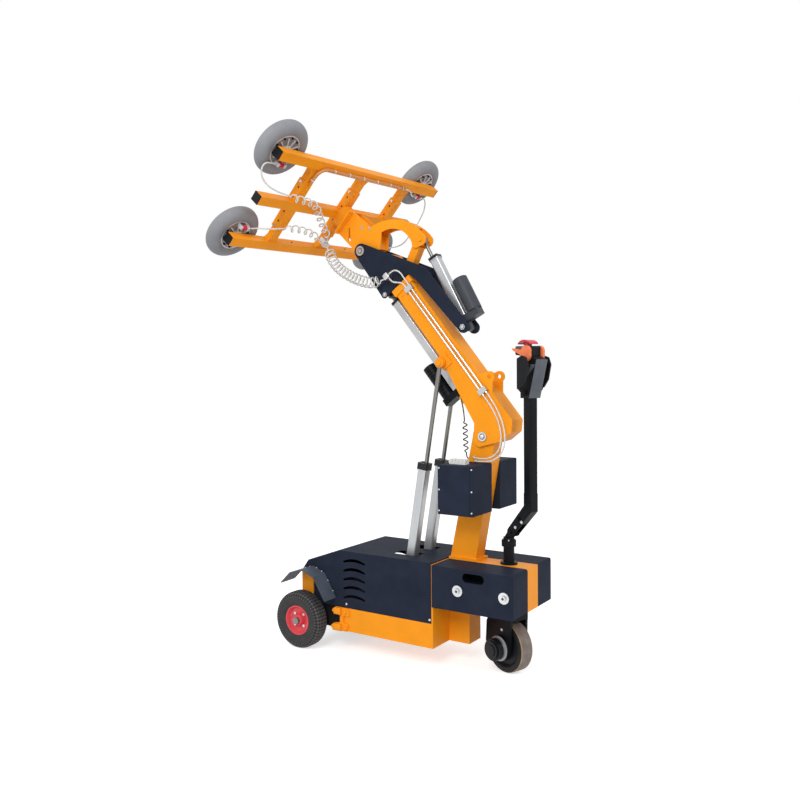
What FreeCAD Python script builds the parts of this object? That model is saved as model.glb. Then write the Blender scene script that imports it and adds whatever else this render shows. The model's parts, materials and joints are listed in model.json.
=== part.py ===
import FreeCAD, Part
import math
import os

V = FreeCAD.Vector

# Floor, wheels and layout, with X forward of the steering axis
wheelbase = 1101.0
tyre_radius = 150.0
tyre_width = 90.0
tyre_corner = 26.0
rim_radius = 78.0
rim_wall = 5.0
wheel_outer_y = 310.0
hub_radius = 27.0
rim_bolt_circle = 42.0
rim_bolt_radius = 7.0
axle_radius = 12.5
shaft_clearance = 0.05
face_gap = 0.3
axle_nut_radius = 20.0
axle_nut_height = 14.0

# Base tray
tray_half_width = 218.0
tray_front_half_width = 190.0
tray_step_back = 221.0
tray_nose = 64.0
tray_bottom = 113.0
tray_top = 235.0
tray_plate = 8.0
axle_boss_radius = 30.0
axle_boss_reach = 22.0
rear_wall_x = 307.0
stay_plate = 6.0
stay_rear = 40.0
stay_front = 38.0
stay_top = 395.0
stay_gap = 8.0

# Front clamp brackets
clamp_reach = 26.0
clamp_length = 100.0
clamp_ahead = 30.0
clamp_wall = 9.0
clamp_lug = 36.0
clamp_bolt_radius = 9.0
clamp_bolt_head = 12.0

# Hood and fenders
hood_top = 534.0
hood_slope_back = 216.0
hood_brow_ahead = 3.0
hood_brow_z = 455.0
hood_nose_ahead = 45.0
hood_nose_z = 401.0
hood_nose_half_width = 198.0
hood_sheet = 2.5
louvre_count = 5
louvre_length = 144.0
louvre_height = 16.0
louvre_rise = 18.0
louvre_pitch = 47.0
louvre_first_z = 291.0
louvre_back = 100.0
fender_sheet = 4.0
fender_outer_y = 314.0
fender_tip_ahead = 105.0
fender_tip_z = 342.0
fender_crown_ahead = -36.0
fender_crown_z = 428.0
fender_front_ahead = 41.0
fender_front_z = 404.0
fender_back_ahead = -117.0
fender_back_z = 398.0
fender_flap_ahead = -193.0
fender_flap_z = 283.0

# Spine and counterweights
spine_half_width = 58.0
spine_plate = 10.0
spine_rear_x = -127.0
spine_leg_x = 190.0
spine_top = 528.0
weight_outer_y = 229.0
weight_chamfer = 14.0
handle_length = 116.0
handle_height = 44.0
handle_depth = 70.0
handle_x = 78.0
handle_z = 490.0
weight_bolt_front_x = 161.0
weight_bolt_rear_x = -85.0
weight_bolt_z = 422.0
weight_washer_radius = 27.0
weight_bolt_radius = 14.0

# Mast and control boxes
mast_half_width = 45.0
mast_wall = 8.0
mast_foot_rear_x = 160.0
mast_foot_front_x = 303.0
mast_foot_plate = 12.0
mast_head_radius = 62.0
box_rear_x = 69.0
box_front_x = 264.0
box_outer_y = 240.0
box_bottom = 784.0
box_top = 1024.0
box_round = 5.0
box_seam = 2.0
strip_length = 88.0
strip_width = 40.0
strip_height = 24.0

# Boom, seen along its own axis from the pivot
boom_pivot_x = 111.0
boom_pivot_z = 1153.0
boom_angle = 51.0
boom_half_width = 60.0
boom_wall = 6.0
boom_under = 63.0
boom_depth = 115.0
boom_rear = -78.0
boom_front = 905.0
boom_chamfer = 42.0
web_front = 470.0
web_knee = 80.0
web_knee_drop = 4.0
web_heel_radius = 56.0
collar_length = 36.0
collar_wall = 8.0
lug_along = 205.0
lug_height = 36.0
lug_radius = 28.0
lug_plate = 12.0
lug_bore = 11.0
boom_pin_radius = 17.0
pin_head_radius = 23.0
pin_head = 7.0

# Lift cylinders
lift_y = 85.0
lift_foot_x = 553.0
lift_foot_z = 250.0
lift_boom_along = 425.0
lift_boom_normal = 55.0
lift_pin_radius = 14.0
lift_eye_radius = 24.0
lift_eye_width = 26.0
lift_tube_outer = 50.0
lift_tube_wall = 3.0
lift_tube_round = 8.0
lift_tube_end = 735.0
lift_rod_radius = 11.0
lift_rod_length = 720.0
lift_gland = 34.0
lift_float = 9.5
lift_foot_ear = 10.0
lift_foot_reach = 70.0

# Extension cylinder
slide_gap = 2.0
ext_normal = 14.0
ext_tube_outer = 44.0
ext_tube_front = 866.0
ext_tube_rear = 285.0
ext_rod_radius = 11.0
ext_rod_rear = 340.0
ext_rear_pin = 225.0
ext_front_pin = 924.0
ext_pin_radius = 9.0
ext_eye_radius = 18.0
ext_eye_width = 24.0
ext_motor_radius = 36.0
ext_motor_front = 480.0
ext_motor_fins = 9
ext_gear_back = 26.0

# Jib
jib_plate = 10.0
jib_nose_radius = 40.0
tilt_pivot_x = 842.0
tilt_pivot_z = 2123.0
tilt_pin_radius = 20.0
tail_pin_x = 217.0
tail_pin_z = 1695.0
tail_pin_radius = 10.0
tail_radius = 30.0
inner_boom_rear = 110.0
inner_boom_front = 1070.0
inner_boom_wall = 6.0
post_half_width = 28.0
post_depth = 44.0

# Tilt arm and its cylinder
arm_half_width = 40.0
arm_plate = 8.0
arm_hub_radius = 34.0
rod_pin_x = 478.0
rod_pin_z = 2156.0
rod_pin_radius = 10.0
arm_tip_radius = 32.0
tilt_tube_outer = 50.0
tilt_tube_wall = 3.0
tilt_tube_end = 405.0
tilt_tube_start = 62.0
tilt_rod_radius = 9.0
tilt_rod_tail = 130.0
tilt_eye_radius = 18.0
tilt_eye_half_width = 12.0
tilt_gland = 16.0
tilt_float = 12.6
tilt_motor_radius = 40.0
tilt_motor_offset = 70.0
tilt_motor_end = 245.0

# Vacuum frame, seen square to its face
frame_x = 1024.0
frame_z = 2355.0
frame_face_angle = 43.5
frame_roll = -2.5
beam_size = 50.0
beam_wall = 3.0
beam_spacing = 257.0
beam_half_length = 680.0
middle_set_back = 28.0
middle_half_length = beam_half_length - middle_set_back
cap_depth = 5.0
arm_spacing = 396.0
sleeve_width = 60.0
sleeve_depth = 46.0
sleeve_wall = 4.0
sleeve_end = 150.0
strut_width = 50.0
strut_depth = 36.0
strut_flare = 28.0
rotator_radius = 66.0
rotator_height = 63.0
flange_plate = 12.0

# Batteries and vacuum unit
bay_gap = 10.0
battery_gap = 16.0
battery_width = 170.0
battery_height = 150.0
battery_post = 9.0
tank_front = 197.0
tank_lift = 110.0
tank_radius = 62.0
tank_half_length = 150.0
tank_stand = 100.0
pump_length = 110.0
pump_width = 120.0
pump_height = 55.0

# Suction cups
cup_inset = 80.0
cup_u = beam_half_length - cup_inset
cup_radius = 150.0
cup_face = 92.0
cup_bulge = 6.0
cup_seat_radius = 86.0
cup_hub_plate = 10.0
cup_rib_height = 8.0
cup_boss_radius = 32.0
cup_ribs = 10
valve_v = 66.0
valve_radius = 8.0
valve_sleeve_radius = 13.0
valve_sleeve_length = 22.0
valve_length = 64.0

# Drive wheel and steering column
steer_angle = -20.0
drive_radius = 125.0
drive_width = 78.0
drive_core_radius = 98.0
drive_axle_radius = 16.0
fork_plate = 14.0
fork_gap = 6.0
fork_half_length = 70.0
fork_waist = 64.0
fork_nose = 106.0
fork_nose_lift = 10.0
fork_shoulder = 100.0
fork_shoulder_drop = 60.0
fork_heel = 48.0
fork_heel_drop = 42.0
fork_edge = 12.0
fork_wheel_room = 12.0
fork_bridge = 36.0
fork_headroom = 23.0
fork_top = 2 * drive_radius + fork_wheel_room + fork_bridge
spine_bottom = fork_top + fork_headroom
column_radius = 27.0
column_flange_radius = 42.0
column_flange = 10.0
column_top = 660.0
column_bore_clearance = 4.0
clamp_ring_drop = 44.0
clamp_ring_wall = 9.0
clamp_ring_height = 30.0
motor_radius = 52.0
motor_reach = 70.0

# Tiller
tiller_pivot_back = 32.0
tiller_pivot_z = 690.0
tiller_pin_radius = 9.0
tiller_lug_half_width = 12.0
tiller_lug_radius = 22.0
tiller_lug_rise = 8.0
tiller_fork_plate = 9.0
tiller_bend_back = 150.0
tiller_bend_z = 832.0
tiller_tube = 50.0
tiller_tube_top = 1362.0
head_bottom = 1346.0
head_height = 248.0
head_half_width = 80.0
head_wall = 4.0
stem_half_width = 37.0
stem_back = 78.0
console_height = 54.0
console_back = 32.0
console_ahead = 62.0
guard_plate = 8.0
guard_ahead = 10.0
guard_back = 62.0
lever_pin_radius = 7.0
lever_drop = 34.0
lever_back = 14.0
lever_reach = 44.0
paddle_width = 15.0
paddle_beak = 78.0
button_height = 22.0
button_band = 10.0
button_half_length = 40.0
button_half_width = 28.0
button_stem = 14.0
button_travel = 8.0


def box(x0, x1, y0, y1, z0, z1):
    return Part.makeBox(x1 - x0, y1 - y0, z1 - z0, V(x0, y0, z0))


def rod(base, axis, radius, length):
    return Part.makeCylinder(radius, length, base, axis)


def bar_y(x, z, radius, y0, y1):
    return rod(V(x, y0, z), V(0, 1, 0), radius, y1 - y0)


def face_of(start, *steps):
    edges = []
    here = start
    for step in steps:
        if isinstance(step, tuple):
            edges.append(Part.Arc(here, step[0], step[1]).toShape())
            here = step[1]
        else:
            edges.append(Part.makeLine(here, step))
            here = step
    if here.distanceToPoint(start) > 1e-6:
        edges.append(Part.makeLine(here, start))
    return Part.Face(Part.Wire(edges))


def side(points, y0, y1):
    wire = Part.makePolygon([V(x, y0, z) for x, z in points] + [V(points[0][0], y0, points[0][1])])
    return Part.Face(wire).extrude(V(0, y1 - y0, 0))


def fuse(shapes):
    return shapes[0].multiFuse(shapes[1:]).removeSplitter()


def mirrored(shape):
    return shape.mirror(V(0, 0, 0), V(0, 1, 0))


def spun(points, axis):
    wire = Part.makePolygon(points + [points[0]])
    return Part.Face(wire).revolve(V(0, 0, 0), axis, 360)


def hexagon(radius):
    return [
        V(radius * math.cos(math.radians(60 * i)), 0, radius * math.sin(math.radians(60 * i)))
        for i in range(6)
    ]


def nut_y(x, y0, z, radius, height):
    points = [p + V(x, y0, z) for p in hexagon(radius)]
    return Part.Face(Part.makePolygon(points + [points[0]])).extrude(V(0, height, 0))


def rounded_bar(size_y, size_z, corner, x0, x1):
    block = box(x0, x1, -size_y / 2, size_y / 2, -size_z / 2, size_z / 2)
    long_edges = [e for e in block.Edges if abs(e.tangentAt(e.FirstParameter).x) > 0.99]
    return block.makeFillet(corner, long_edges)


nodes = {}

# Front wheels
wheel_mid_y = wheel_outer_y - tyre_width / 2
half = tyre_width / 2
tyre_face = face_of(
    V(rim_radius, -half + 8, 0),
    V(rim_radius + 16, -half, 0),
    V(tyre_radius - tyre_corner, -half, 0),
    (
        V(tyre_radius - 0.3 * tyre_corner, -half + 0.3 * tyre_corner, 0),
        V(tyre_radius, -half + tyre_corner, 0),
    ),
    V(tyre_radius, half - tyre_corner, 0),
    (
        V(tyre_radius - 0.3 * tyre_corner, half - 0.3 * tyre_corner, 0),
        V(tyre_radius - tyre_corner, half, 0),
    ),
    V(rim_radius + 16, half, 0),
    V(rim_radius, half - 8, 0),
)
tyre = tyre_face.revolve(V(0, 0, 0), V(0, 1, 0), 360)
rim_edge = rim_radius - face_gap
rim_half = half - 6
web_y = 6.0
rim = spun(
    [
        V(axle_radius + shaft_clearance, -half + 4, 0),
        V(hub_radius, -half + 4, 0),
        V(hub_radius, web_y, 0),
        V(rim_edge - 22, web_y + 8, 0),
        V(rim_edge - rim_wall, -rim_half, 0),
        V(rim_edge, -rim_half, 0),
        V(rim_edge, rim_half, 0),
        V(rim_edge - rim_wall, rim_half, 0),
        V(rim_edge - 16, web_y + 8 + rim_wall, 0),
        V(hub_radius + 6, web_y + rim_wall, 0),
        V(hub_radius, half - 12, 0),
        V(axle_radius + shaft_clearance, half - 6, 0),
    ],
    V(0, 1, 0),
)
rim_bolts = []
for i in range(4):
    turn = math.radians(45 + 90 * i)
    at = V(rim_bolt_circle * math.cos(turn), web_y, rim_bolt_circle * math.sin(turn))
    rim_bolts.append(rod(at, V(0, 1, 0), rim_bolt_radius, 15.0))
rim = fuse([rim] + rim_bolts)
wheel_at = V(wheelbase, wheel_mid_y, tyre_radius)
nodes["tyre_left"] = tyre.translated(wheel_at)
nodes["rim_left"] = rim.translated(wheel_at)
nodes["tyre_right"] = mirrored(nodes["tyre_left"])
nodes["rim_right"] = mirrored(nodes["rim_left"])
axle_end = wheel_outer_y - 6 + face_gap
axle = bar_y(wheelbase, tyre_radius, axle_radius, -axle_end, axle_end)
axle_nuts = [nut_y(wheelbase, axle_end, tyre_radius, axle_nut_radius, axle_nut_height)]
axle_nuts.append(mirrored(axle_nuts[0]))
nodes["front_axle"] = fuse([axle] + axle_nuts)

# Base tray
tray_step_x = wheelbase - tray_step_back
tray_front_x = wheelbase + tray_nose
w = tray_half_width
f = tray_front_half_width
p = tray_plate
wall_x = rear_wall_x + p
tray = [
    box(rear_wall_x, tray_step_x, -w, w, tray_bottom, tray_bottom + p),
    box(tray_step_x - p, tray_front_x, -f, f, tray_bottom, tray_bottom + p),
    box(rear_wall_x, wall_x, -w, w, tray_bottom, spine_top),
    box(tray_front_x - p, tray_front_x, -f, f, tray_bottom, tray_top),
]
for s in (1, -1):
    tray.append(
        box(
            rear_wall_x,
            tray_step_x,
            min(s * w, s * (w - p)),
            max(s * w, s * (w - p)),
            tray_bottom,
            tray_top,
        )
    )
    tray.append(
        box(
            tray_step_x - p,
            tray_step_x,
            min(s * w, s * (f - p)),
            max(s * w, s * (f - p)),
            tray_bottom,
            tray_top,
        )
    )
    tray.append(
        box(
            tray_step_x - p,
            tray_front_x,
            min(s * f, s * (f - p)),
            max(s * f, s * (f - p)),
            tray_bottom,
            tray_top,
        )
    )
    boss_in = f - 2 * p
    boss_out = f + axle_boss_reach
    tray.append(
        bar_y(
            wheelbase,
            tyre_radius,
            axle_boss_radius,
            min(s * boss_in, s * boss_out),
            max(s * boss_in, s * boss_out),
        )
    )
    stay_in = s * (hood_nose_half_width + stay_gap)
    stay_out = s * (hood_nose_half_width + stay_gap + stay_plate)
    stay = box(
        wheelbase - stay_rear,
        wheelbase + stay_front,
        min(stay_in, stay_out),
        max(stay_in, stay_out),
        tray_bottom + p,
        stay_top,
    )
    tray.append(stay)
tray = fuse(tray)
tray = tray.cut(bar_y(wheelbase, tyre_radius, axle_radius + shaft_clearance, -boss_out, boss_out))
foot_ears = []
lift_ear_in = lift_y - lift_eye_width / 2 - 1
lift_ear_out = lift_y + lift_eye_width / 2 + 1
for s in (1, -1):
    for inner, outer in (
        (lift_ear_in - lift_foot_ear, lift_ear_in), (lift_ear_out, lift_ear_out + lift_foot_ear)
    ):
        ear = side(
            [
                (lift_foot_x - lift_foot_reach, tray_bottom + p),
                (lift_foot_x + lift_foot_reach, tray_bottom + p),
                (lift_foot_x + 28, lift_foot_z + 12),
                (lift_foot_x, lift_foot_z + 28),
                (lift_foot_x - 28, lift_foot_z + 12),
            ],
            min(s * inner, s * outer),
            max(s * inner, s * outer),
        )
        foot_ears.append(ear)
foot_bore = bar_y(
    lift_foot_x, lift_foot_z, lift_pin_radius + shaft_clearance, -tray_half_width, tray_half_width
)
nodes["base_tray"] = fuse([tray] + foot_ears).cut(foot_bore)
foot_pins = []
for s in (1, -1):
    a = lift_ear_in - lift_foot_ear - 6
    b = lift_ear_out + lift_foot_ear + 6
    foot_pins.append(bar_y(lift_foot_x, lift_foot_z, lift_pin_radius, min(s * a, s * b), max(s * a, s * b)))
nodes["lift_foot_pins"] = Part.makeCompound(foot_pins)

# Front clamp brackets
clamp_front = tray_step_x + clamp_ahead
clamp_rear = clamp_front - clamp_length
clamp_in = tray_half_width + face_gap
clamp_neck = clamp_front - 0.5 * clamp_length
clamp_line = [
    (clamp_rear + clamp_wall, tray_top),
    (clamp_rear, tray_top - clamp_lug),
    (clamp_neck - clamp_wall, tray_top - 1.2 * clamp_lug),
    (clamp_neck - clamp_wall, tray_bottom + 1.2 * clamp_lug),
    (clamp_rear + clamp_wall, tray_bottom + clamp_lug),
    (clamp_rear + 2 * clamp_wall, tray_bottom),
    (clamp_front, tray_bottom),
    (clamp_front, tray_bottom + clamp_lug),
    (clamp_neck + clamp_wall, tray_bottom + 1.2 * clamp_lug),
    (clamp_neck + clamp_wall, tray_top - 1.2 * clamp_lug),
    (clamp_front - clamp_wall, tray_top - clamp_lug),
    (clamp_front - clamp_wall, tray_top),
]
clamp_pieces = [side(clamp_line, clamp_in, clamp_in + clamp_wall)]
for front, bottom in ((clamp_front - clamp_wall, tray_top - clamp_lug), (clamp_front, tray_bottom)):
    lug = box(clamp_neck, front, clamp_in, clamp_in + clamp_reach, bottom, bottom + clamp_lug)
    outer_edges = [
        e
        for e in lug.Edges
        if abs(e.tangentAt(e.FirstParameter).x) > 0.99 and e.BoundBox.YMin > clamp_in + 1
    ]
    clamp_pieces.append(lug.makeFillet(clamp_wall, outer_edges))
    bolt_y = clamp_in + 0.5 * clamp_reach
    bolt_z = bottom + 0.5 * clamp_lug
    clamp_pieces.append(
        rod(V(front - 1, bolt_y, bolt_z), V(1, 0, 0), clamp_bolt_radius, clamp_bolt_head + 1)
    )
    nut_x = clamp_rear + 0.25 * clamp_length
    clamp_pieces.append(nut_y(nut_x, clamp_in + clamp_wall, bolt_z, clamp_bolt_radius, clamp_wall))
clamp = fuse(clamp_pieces)
nodes["clamp_brackets"] = Part.makeCompound([clamp, mirrored(clamp)])


# Hood
hood_slope_x = wheelbase - hood_slope_back
hood_brow_x = wheelbase + hood_brow_ahead
hood_nose_x = wheelbase + hood_nose_ahead
louvre_x = hood_slope_x - louvre_back


def hood_block(inset, floor):
    rear = wall_x + face_gap + inset
    profile = [
        (rear, floor),
        (rear, hood_top - inset),
        (hood_slope_x, hood_top - inset),
        (hood_brow_x - 0.3 * inset, hood_brow_z - inset),
        (hood_nose_x - inset, hood_nose_z - 0.7 * inset),
        (hood_nose_x - inset, floor),
    ]
    body = side(profile, -tray_half_width, tray_half_width)
    y_rear = tray_half_width - inset
    y_nose = hood_nose_half_width - inset
    plan = [
        V(rear, -y_rear, floor),
        V(hood_slope_x, -y_rear, floor),
        V(hood_nose_x, -y_nose, floor),
        V(hood_nose_x, y_nose, floor),
        V(hood_slope_x, y_rear, floor),
        V(rear, y_rear, floor),
    ]
    column = Part.Face(Part.makePolygon(plan + [plan[0]])).extrude(V(0, 0, hood_top))
    return body.common(column)


hood_floor = tray_top + face_gap
hood = hood_block(0, hood_floor).cut(hood_block(hood_sheet, hood_floor - 5))
for i in range(louvre_count):
    z = louvre_first_z + i * louvre_pitch
    end = louvre_length / 2
    tip = end - louvre_height / 3
    low = z - louvre_height / 2
    slot = face_of(
        V(louvre_x - end, -w - 1, z),
        (V(louvre_x, -w - 1, z + louvre_rise), V(louvre_x + end, -w - 1, z)),
        V(louvre_x + tip, -w - 1, low),
        (V(louvre_x, -w - 1, z + louvre_rise - louvre_height), V(louvre_x - tip, -w - 1, low)),
    )
    hood = hood.cut(slot.extrude(V(0, 2 * w + 2, 0)))
lift_slope = math.atan2(
    boom_pivot_x
    + lift_boom_along * math.cos(math.radians(boom_angle))
    - lift_boom_normal * math.sin(math.radians(boom_angle))
    - lift_foot_x,
    boom_pivot_z
    + lift_boom_along * math.sin(math.radians(boom_angle))
    + lift_boom_normal * math.cos(math.radians(boom_angle))
    - lift_foot_z,
)
slot_rear = lift_foot_x + (hood_top - lift_foot_z) * math.tan(lift_slope) - 0.9 * lift_tube_outer
slot_front = lift_foot_x + 0.9 * lift_tube_outer
for s in (1, -1):
    y = s * lift_y
    hood = hood.cut(
        box(
            slot_rear,
            slot_front,
            y - 0.8 * lift_tube_outer,
            y + 0.8 * lift_tube_outer,
            hood_top - 9,
            hood_top + 9,
        )
    )
nodes["hood"] = hood

# Fenders
fender_line = [
    (wheelbase + fender_tip_ahead, fender_tip_z),
    (wheelbase + fender_front_ahead, fender_front_z),
    (wheelbase + fender_crown_ahead, fender_crown_z),
    (wheelbase + fender_back_ahead, fender_back_z),
    (wheelbase + fender_flap_ahead, fender_flap_z),
]
fender_under = [(x - 0.35 * fender_sheet, z - fender_sheet) for x, z in reversed(fender_line)]
fender = side(fender_line + fender_under, hood_nose_half_width + face_gap, fender_outer_y)
keep_clear = hood_block(-face_gap, hood_floor)
fender = fender.cut(keep_clear)
nodes["fenders"] = Part.makeCompound([fender, mirrored(fender)])

# Spine between the counterweights
spine_line = [
    (spine_rear_x, spine_bottom),
    (spine_leg_x, spine_bottom),
    (spine_leg_x, tray_bottom),
    (rear_wall_x - face_gap, tray_bottom),
    (rear_wall_x - face_gap, spine_top),
    (spine_rear_x, spine_top),
]
spine = side(spine_line, -spine_half_width, spine_half_width)
t = spine_plate
spine_core = [
    (spine_rear_x + t, spine_bottom + t),
    (spine_leg_x + t, spine_bottom + t),
    (spine_leg_x + t, tray_bottom + t),
    (rear_wall_x - face_gap - t, tray_bottom + t),
    (rear_wall_x - face_gap - t, spine_top - t),
    (spine_rear_x + t, spine_top - t),
]
spine = spine.cut(side(spine_core, -spine_half_width + t, spine_half_width - t))
column_hole = rod(V(0, 0, tray_bottom), V(0, 0, 1), column_radius + column_bore_clearance, spine_top)
nodes["spine"] = spine.cut(column_hole)

# Counterweights
weight = box(
    spine_rear_x,
    rear_wall_x - face_gap,
    spine_half_width + face_gap,
    weight_outer_y,
    spine_bottom,
    spine_top,
)
rear_edges = []
for e in weight.Edges:
    mid = e.valueAt((e.FirstParameter + e.LastParameter) / 2)
    if abs(mid.x - spine_rear_x) < 1 and (mid.z > spine_top - 1 or abs(mid.y - weight_outer_y) < 1):
        rear_edges.append(e)
weight = weight.makeFillet(weight_chamfer, rear_edges)
slot = box(
    handle_x - handle_length / 2,
    handle_x + handle_length / 2,
    weight_outer_y - handle_depth,
    weight_outer_y + 1,
    handle_z - handle_height / 2,
    handle_z + handle_height / 2,
)
slot = slot.makeFillet(
    0.48 * handle_height, [e for e in slot.Edges if abs(e.tangentAt(e.FirstParameter).y) > 0.99]
)
weight = weight.cut(slot)
nodes["counterweight_left"] = weight
nodes["counterweight_right"] = mirrored(weight)
weight_bolts = []
for x in (weight_bolt_front_x, weight_bolt_rear_x):
    washer = bar_y(x, weight_bolt_z, weight_washer_radius, weight_outer_y, weight_outer_y + 5)
    head = nut_y(x, weight_outer_y + 5, weight_bolt_z, weight_bolt_radius, 10)
    bolt = fuse([washer, head])
    weight_bolts += [bolt, mirrored(bolt)]
nodes["counterweight_bolts"] = Part.makeCompound(weight_bolts)

# Mast
foot_z = spine_top + mast_foot_plate
mast_line = face_of(
    V(mast_foot_rear_x, -mast_half_width, foot_z),
    V(mast_foot_front_x, -mast_half_width, foot_z),
    V(boom_pivot_x + mast_head_radius, -mast_half_width, boom_pivot_z),
    (
        V(boom_pivot_x, -mast_half_width, boom_pivot_z + mast_head_radius),
        V(boom_pivot_x - mast_head_radius, -mast_half_width, boom_pivot_z),
    ),
)
mast = mast_line.extrude(V(0, 2 * mast_half_width, 0))
inner_top = boom_pivot_z - mast_head_radius - mast_wall
rise = (inner_top - foot_z) / (boom_pivot_z - foot_z)
rear_top = mast_foot_rear_x + rise * (boom_pivot_x - mast_head_radius - mast_foot_rear_x)
front_top = mast_foot_front_x + rise * (boom_pivot_x + mast_head_radius - mast_foot_front_x)
hollow = side(
    [
        (mast_foot_rear_x + mast_wall, foot_z),
        (mast_foot_front_x - mast_wall, foot_z),
        (front_top - mast_wall, inner_top),
        (rear_top + mast_wall, inner_top),
    ],
    -mast_half_width + mast_wall,
    mast_half_width - mast_wall,
)
mast = mast.cut(hollow)
boom_inner = boom_half_width - boom_wall
mast_boss = bar_y(boom_pivot_x, boom_pivot_z, pin_head_radius + 9, -boom_inner + 1, boom_inner - 1)
mast_plate = box(
    mast_foot_rear_x - 14,
    rear_wall_x - face_gap,
    -spine_half_width,
    spine_half_width,
    spine_top,
    foot_z,
)
mast = fuse([mast, mast_boss, mast_plate])
mast = mast.cut(
    bar_y(
        boom_pivot_x, boom_pivot_z, boom_pin_radius + shaft_clearance, -boom_half_width, boom_half_width
    )
)
nodes["mast"] = mast

# Control boxes
def control_box():
    y0 = mast_half_width + face_gap
    body = box(box_rear_x, box_front_x, y0, box_outer_y, box_bottom, box_top)
    outside = []
    for e in body.Edges:
        mid = e.valueAt((e.FirstParameter + e.LastParameter) / 2)
        if mid.y > y0 + 1:
            outside.append(e)
    body = body.makeFillet(box_round, outside)
    seam_x = box_rear_x + 0.5 * box_round + 12
    groove = box(seam_x, seam_x + box_seam, y0 - 1, box_outer_y + 1, box_bottom - 1, box_top + 1)
    core = box(
        seam_x - 1,
        seam_x + box_seam + 1,
        y0 - 2,
        box_outer_y - box_seam,
        box_bottom + box_seam,
        box_top - box_seam,
    )
    return body.cut(groove.cut(core))


nodes["control_box_left"] = control_box()
nodes["control_box_right"] = mirrored(control_box())
strip_x = 0.5 * (box_rear_x + box_front_x) + 18
strip_y = box_outer_y - 95
strip = box(
    strip_x - strip_length / 2,
    strip_x + strip_length / 2,
    strip_y,
    strip_y + strip_width,
    box_top,
    box_top + strip_height,
)
for k in range(4):
    x = strip_x - strip_length / 2 + strip_length * (k + 1) / 5
    strip = strip.cut(
        box(
            x - 2,
            x + 2,
            strip_y - 1,
            strip_y + strip_width + 1,
            box_top + 0.6 * strip_height,
            box_top + strip_height + 1,
        )
    )
nodes["terminal_strip"] = strip

# Boom weldment, drawn level and then raised
boom_place = FreeCAD.Placement(V(boom_pivot_x, 0, boom_pivot_z), FreeCAD.Rotation(V(0, 1, 0), -boom_angle))


def on_boom(shape):
    raised = shape.copy()
    raised.Placement = boom_place.multiply(raised.Placement)
    return raised


def boom_local(x, z):
    at = boom_place.inverse().multVec(V(x, 0, z))
    return at.x, at.z


boom_over = boom_under + boom_depth
h = boom_half_width
tube_line = [
    (boom_rear, boom_under),
    (boom_front, boom_under),
    (boom_front, boom_over),
    (boom_rear + boom_chamfer, boom_over),
    (boom_rear, boom_over - boom_chamfer),
]
tube = side(tube_line, -h, h)
bw = boom_wall
tube_core = [
    (boom_rear + bw, boom_under + bw),
    (boom_front + 1, boom_under + bw),
    (boom_front + 1, boom_over - bw),
    (boom_rear + boom_chamfer + 0.4 * bw, boom_over - bw),
    (boom_rear + bw, boom_over - boom_chamfer - 0.4 * bw),
]
tube = tube.cut(side(tube_core, -h + bw, h - bw))
heel = web_heel_radius
webs = []
for y0 in (boom_inner, -h):
    web = face_of(
        V(web_front, y0, boom_under + 1),
        V(web_knee, y0, web_knee_drop),
        V(0.25 * heel, y0, -0.95 * heel),
        (V(-0.15 * heel, y0, -heel), V(-0.5 * heel, y0, -0.86 * heel)),
        V(boom_rear, y0, boom_under + 1),
    )
    webs.append(web.extrude(V(0, bw, 0)))
collar = box(
    boom_front - collar_length,
    boom_front,
    -h - collar_wall,
    h + collar_wall,
    boom_under - collar_wall,
    boom_over + collar_wall,
)
collar = collar.cut(box(boom_front - collar_length - 1, boom_front + 1, -h, h, boom_under, boom_over))
lugs = []
for y0 in (h - lug_plate, -h):
    top = boom_over + lug_height
    lug = face_of(
        V(lug_along - 2.6 * lug_radius, y0, boom_over - 1),
        V(lug_along + 1.6 * lug_radius, y0, boom_over - 1),
        V(lug_along + lug_radius, y0, top),
        (V(lug_along, y0, top + lug_radius), V(lug_along - lug_radius, y0, top)),
    ).extrude(V(0, lug_plate, 0))
    lugs.append(lug.cut(bar_y(lug_along, top, lug_bore, y0 - 1, y0 + lug_plate + 1)))
saddle_side = lift_eye_radius + 12
saddle = box(
    lift_boom_along - saddle_side,
    lift_boom_along + saddle_side,
    -h - 6,
    h + 6,
    lift_boom_normal - 17,
    boom_under + 36,
)
saddle = saddle.cut(box(lift_boom_along - 100, lift_boom_along + 100, -h, h, boom_under, boom_over))
cross_pin = bar_y(
    lift_boom_along,
    lift_boom_normal,
    lift_pin_radius,
    -lift_y - lift_eye_width / 2 - 9,
    lift_y + lift_eye_width / 2 + 9,
)
ear_inner = ext_eye_width / 2 + 3
ear_front = ext_gear_back - 3
ears = []
for y0 in (ear_inner, -ear_inner - 8):
    ear = side(
        [
            (ext_rear_pin - 44, boom_under + 1),
            (ext_rear_pin + ear_front, boom_under + 1),
            (ext_rear_pin + 0.8 * ear_front, ext_normal - 14),
            (ext_rear_pin - 22, ext_normal - 14),
        ],
        y0,
        y0 + 8,
    )
    ears.append(ear)
boom = fuse([tube, collar, saddle, cross_pin] + webs + lugs + ears)
boom = boom.cut(bar_y(0, 0, boom_pin_radius + shaft_clearance, -h - 1, h + 1))
boom = boom.cut(bar_y(ext_rear_pin, ext_normal, ext_pin_radius + shaft_clearance, -h, h))
nodes["boom"] = on_boom(boom)
boom_pin = [bar_y(0, 0, boom_pin_radius, -h - face_gap, h + face_gap)]
boom_pin.append(bar_y(0, 0, pin_head_radius, h + face_gap, h + face_gap + pin_head))
boom_pin.append(bar_y(0, 0, pin_head_radius, -h - face_gap - pin_head, -h - face_gap))
rear_pin = bar_y(ext_rear_pin, ext_normal, ext_pin_radius, -ear_inner - 14, ear_inner + 14)
nodes["boom_pins"] = on_boom(Part.makeCompound([fuse(boom_pin), rear_pin]))

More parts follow.
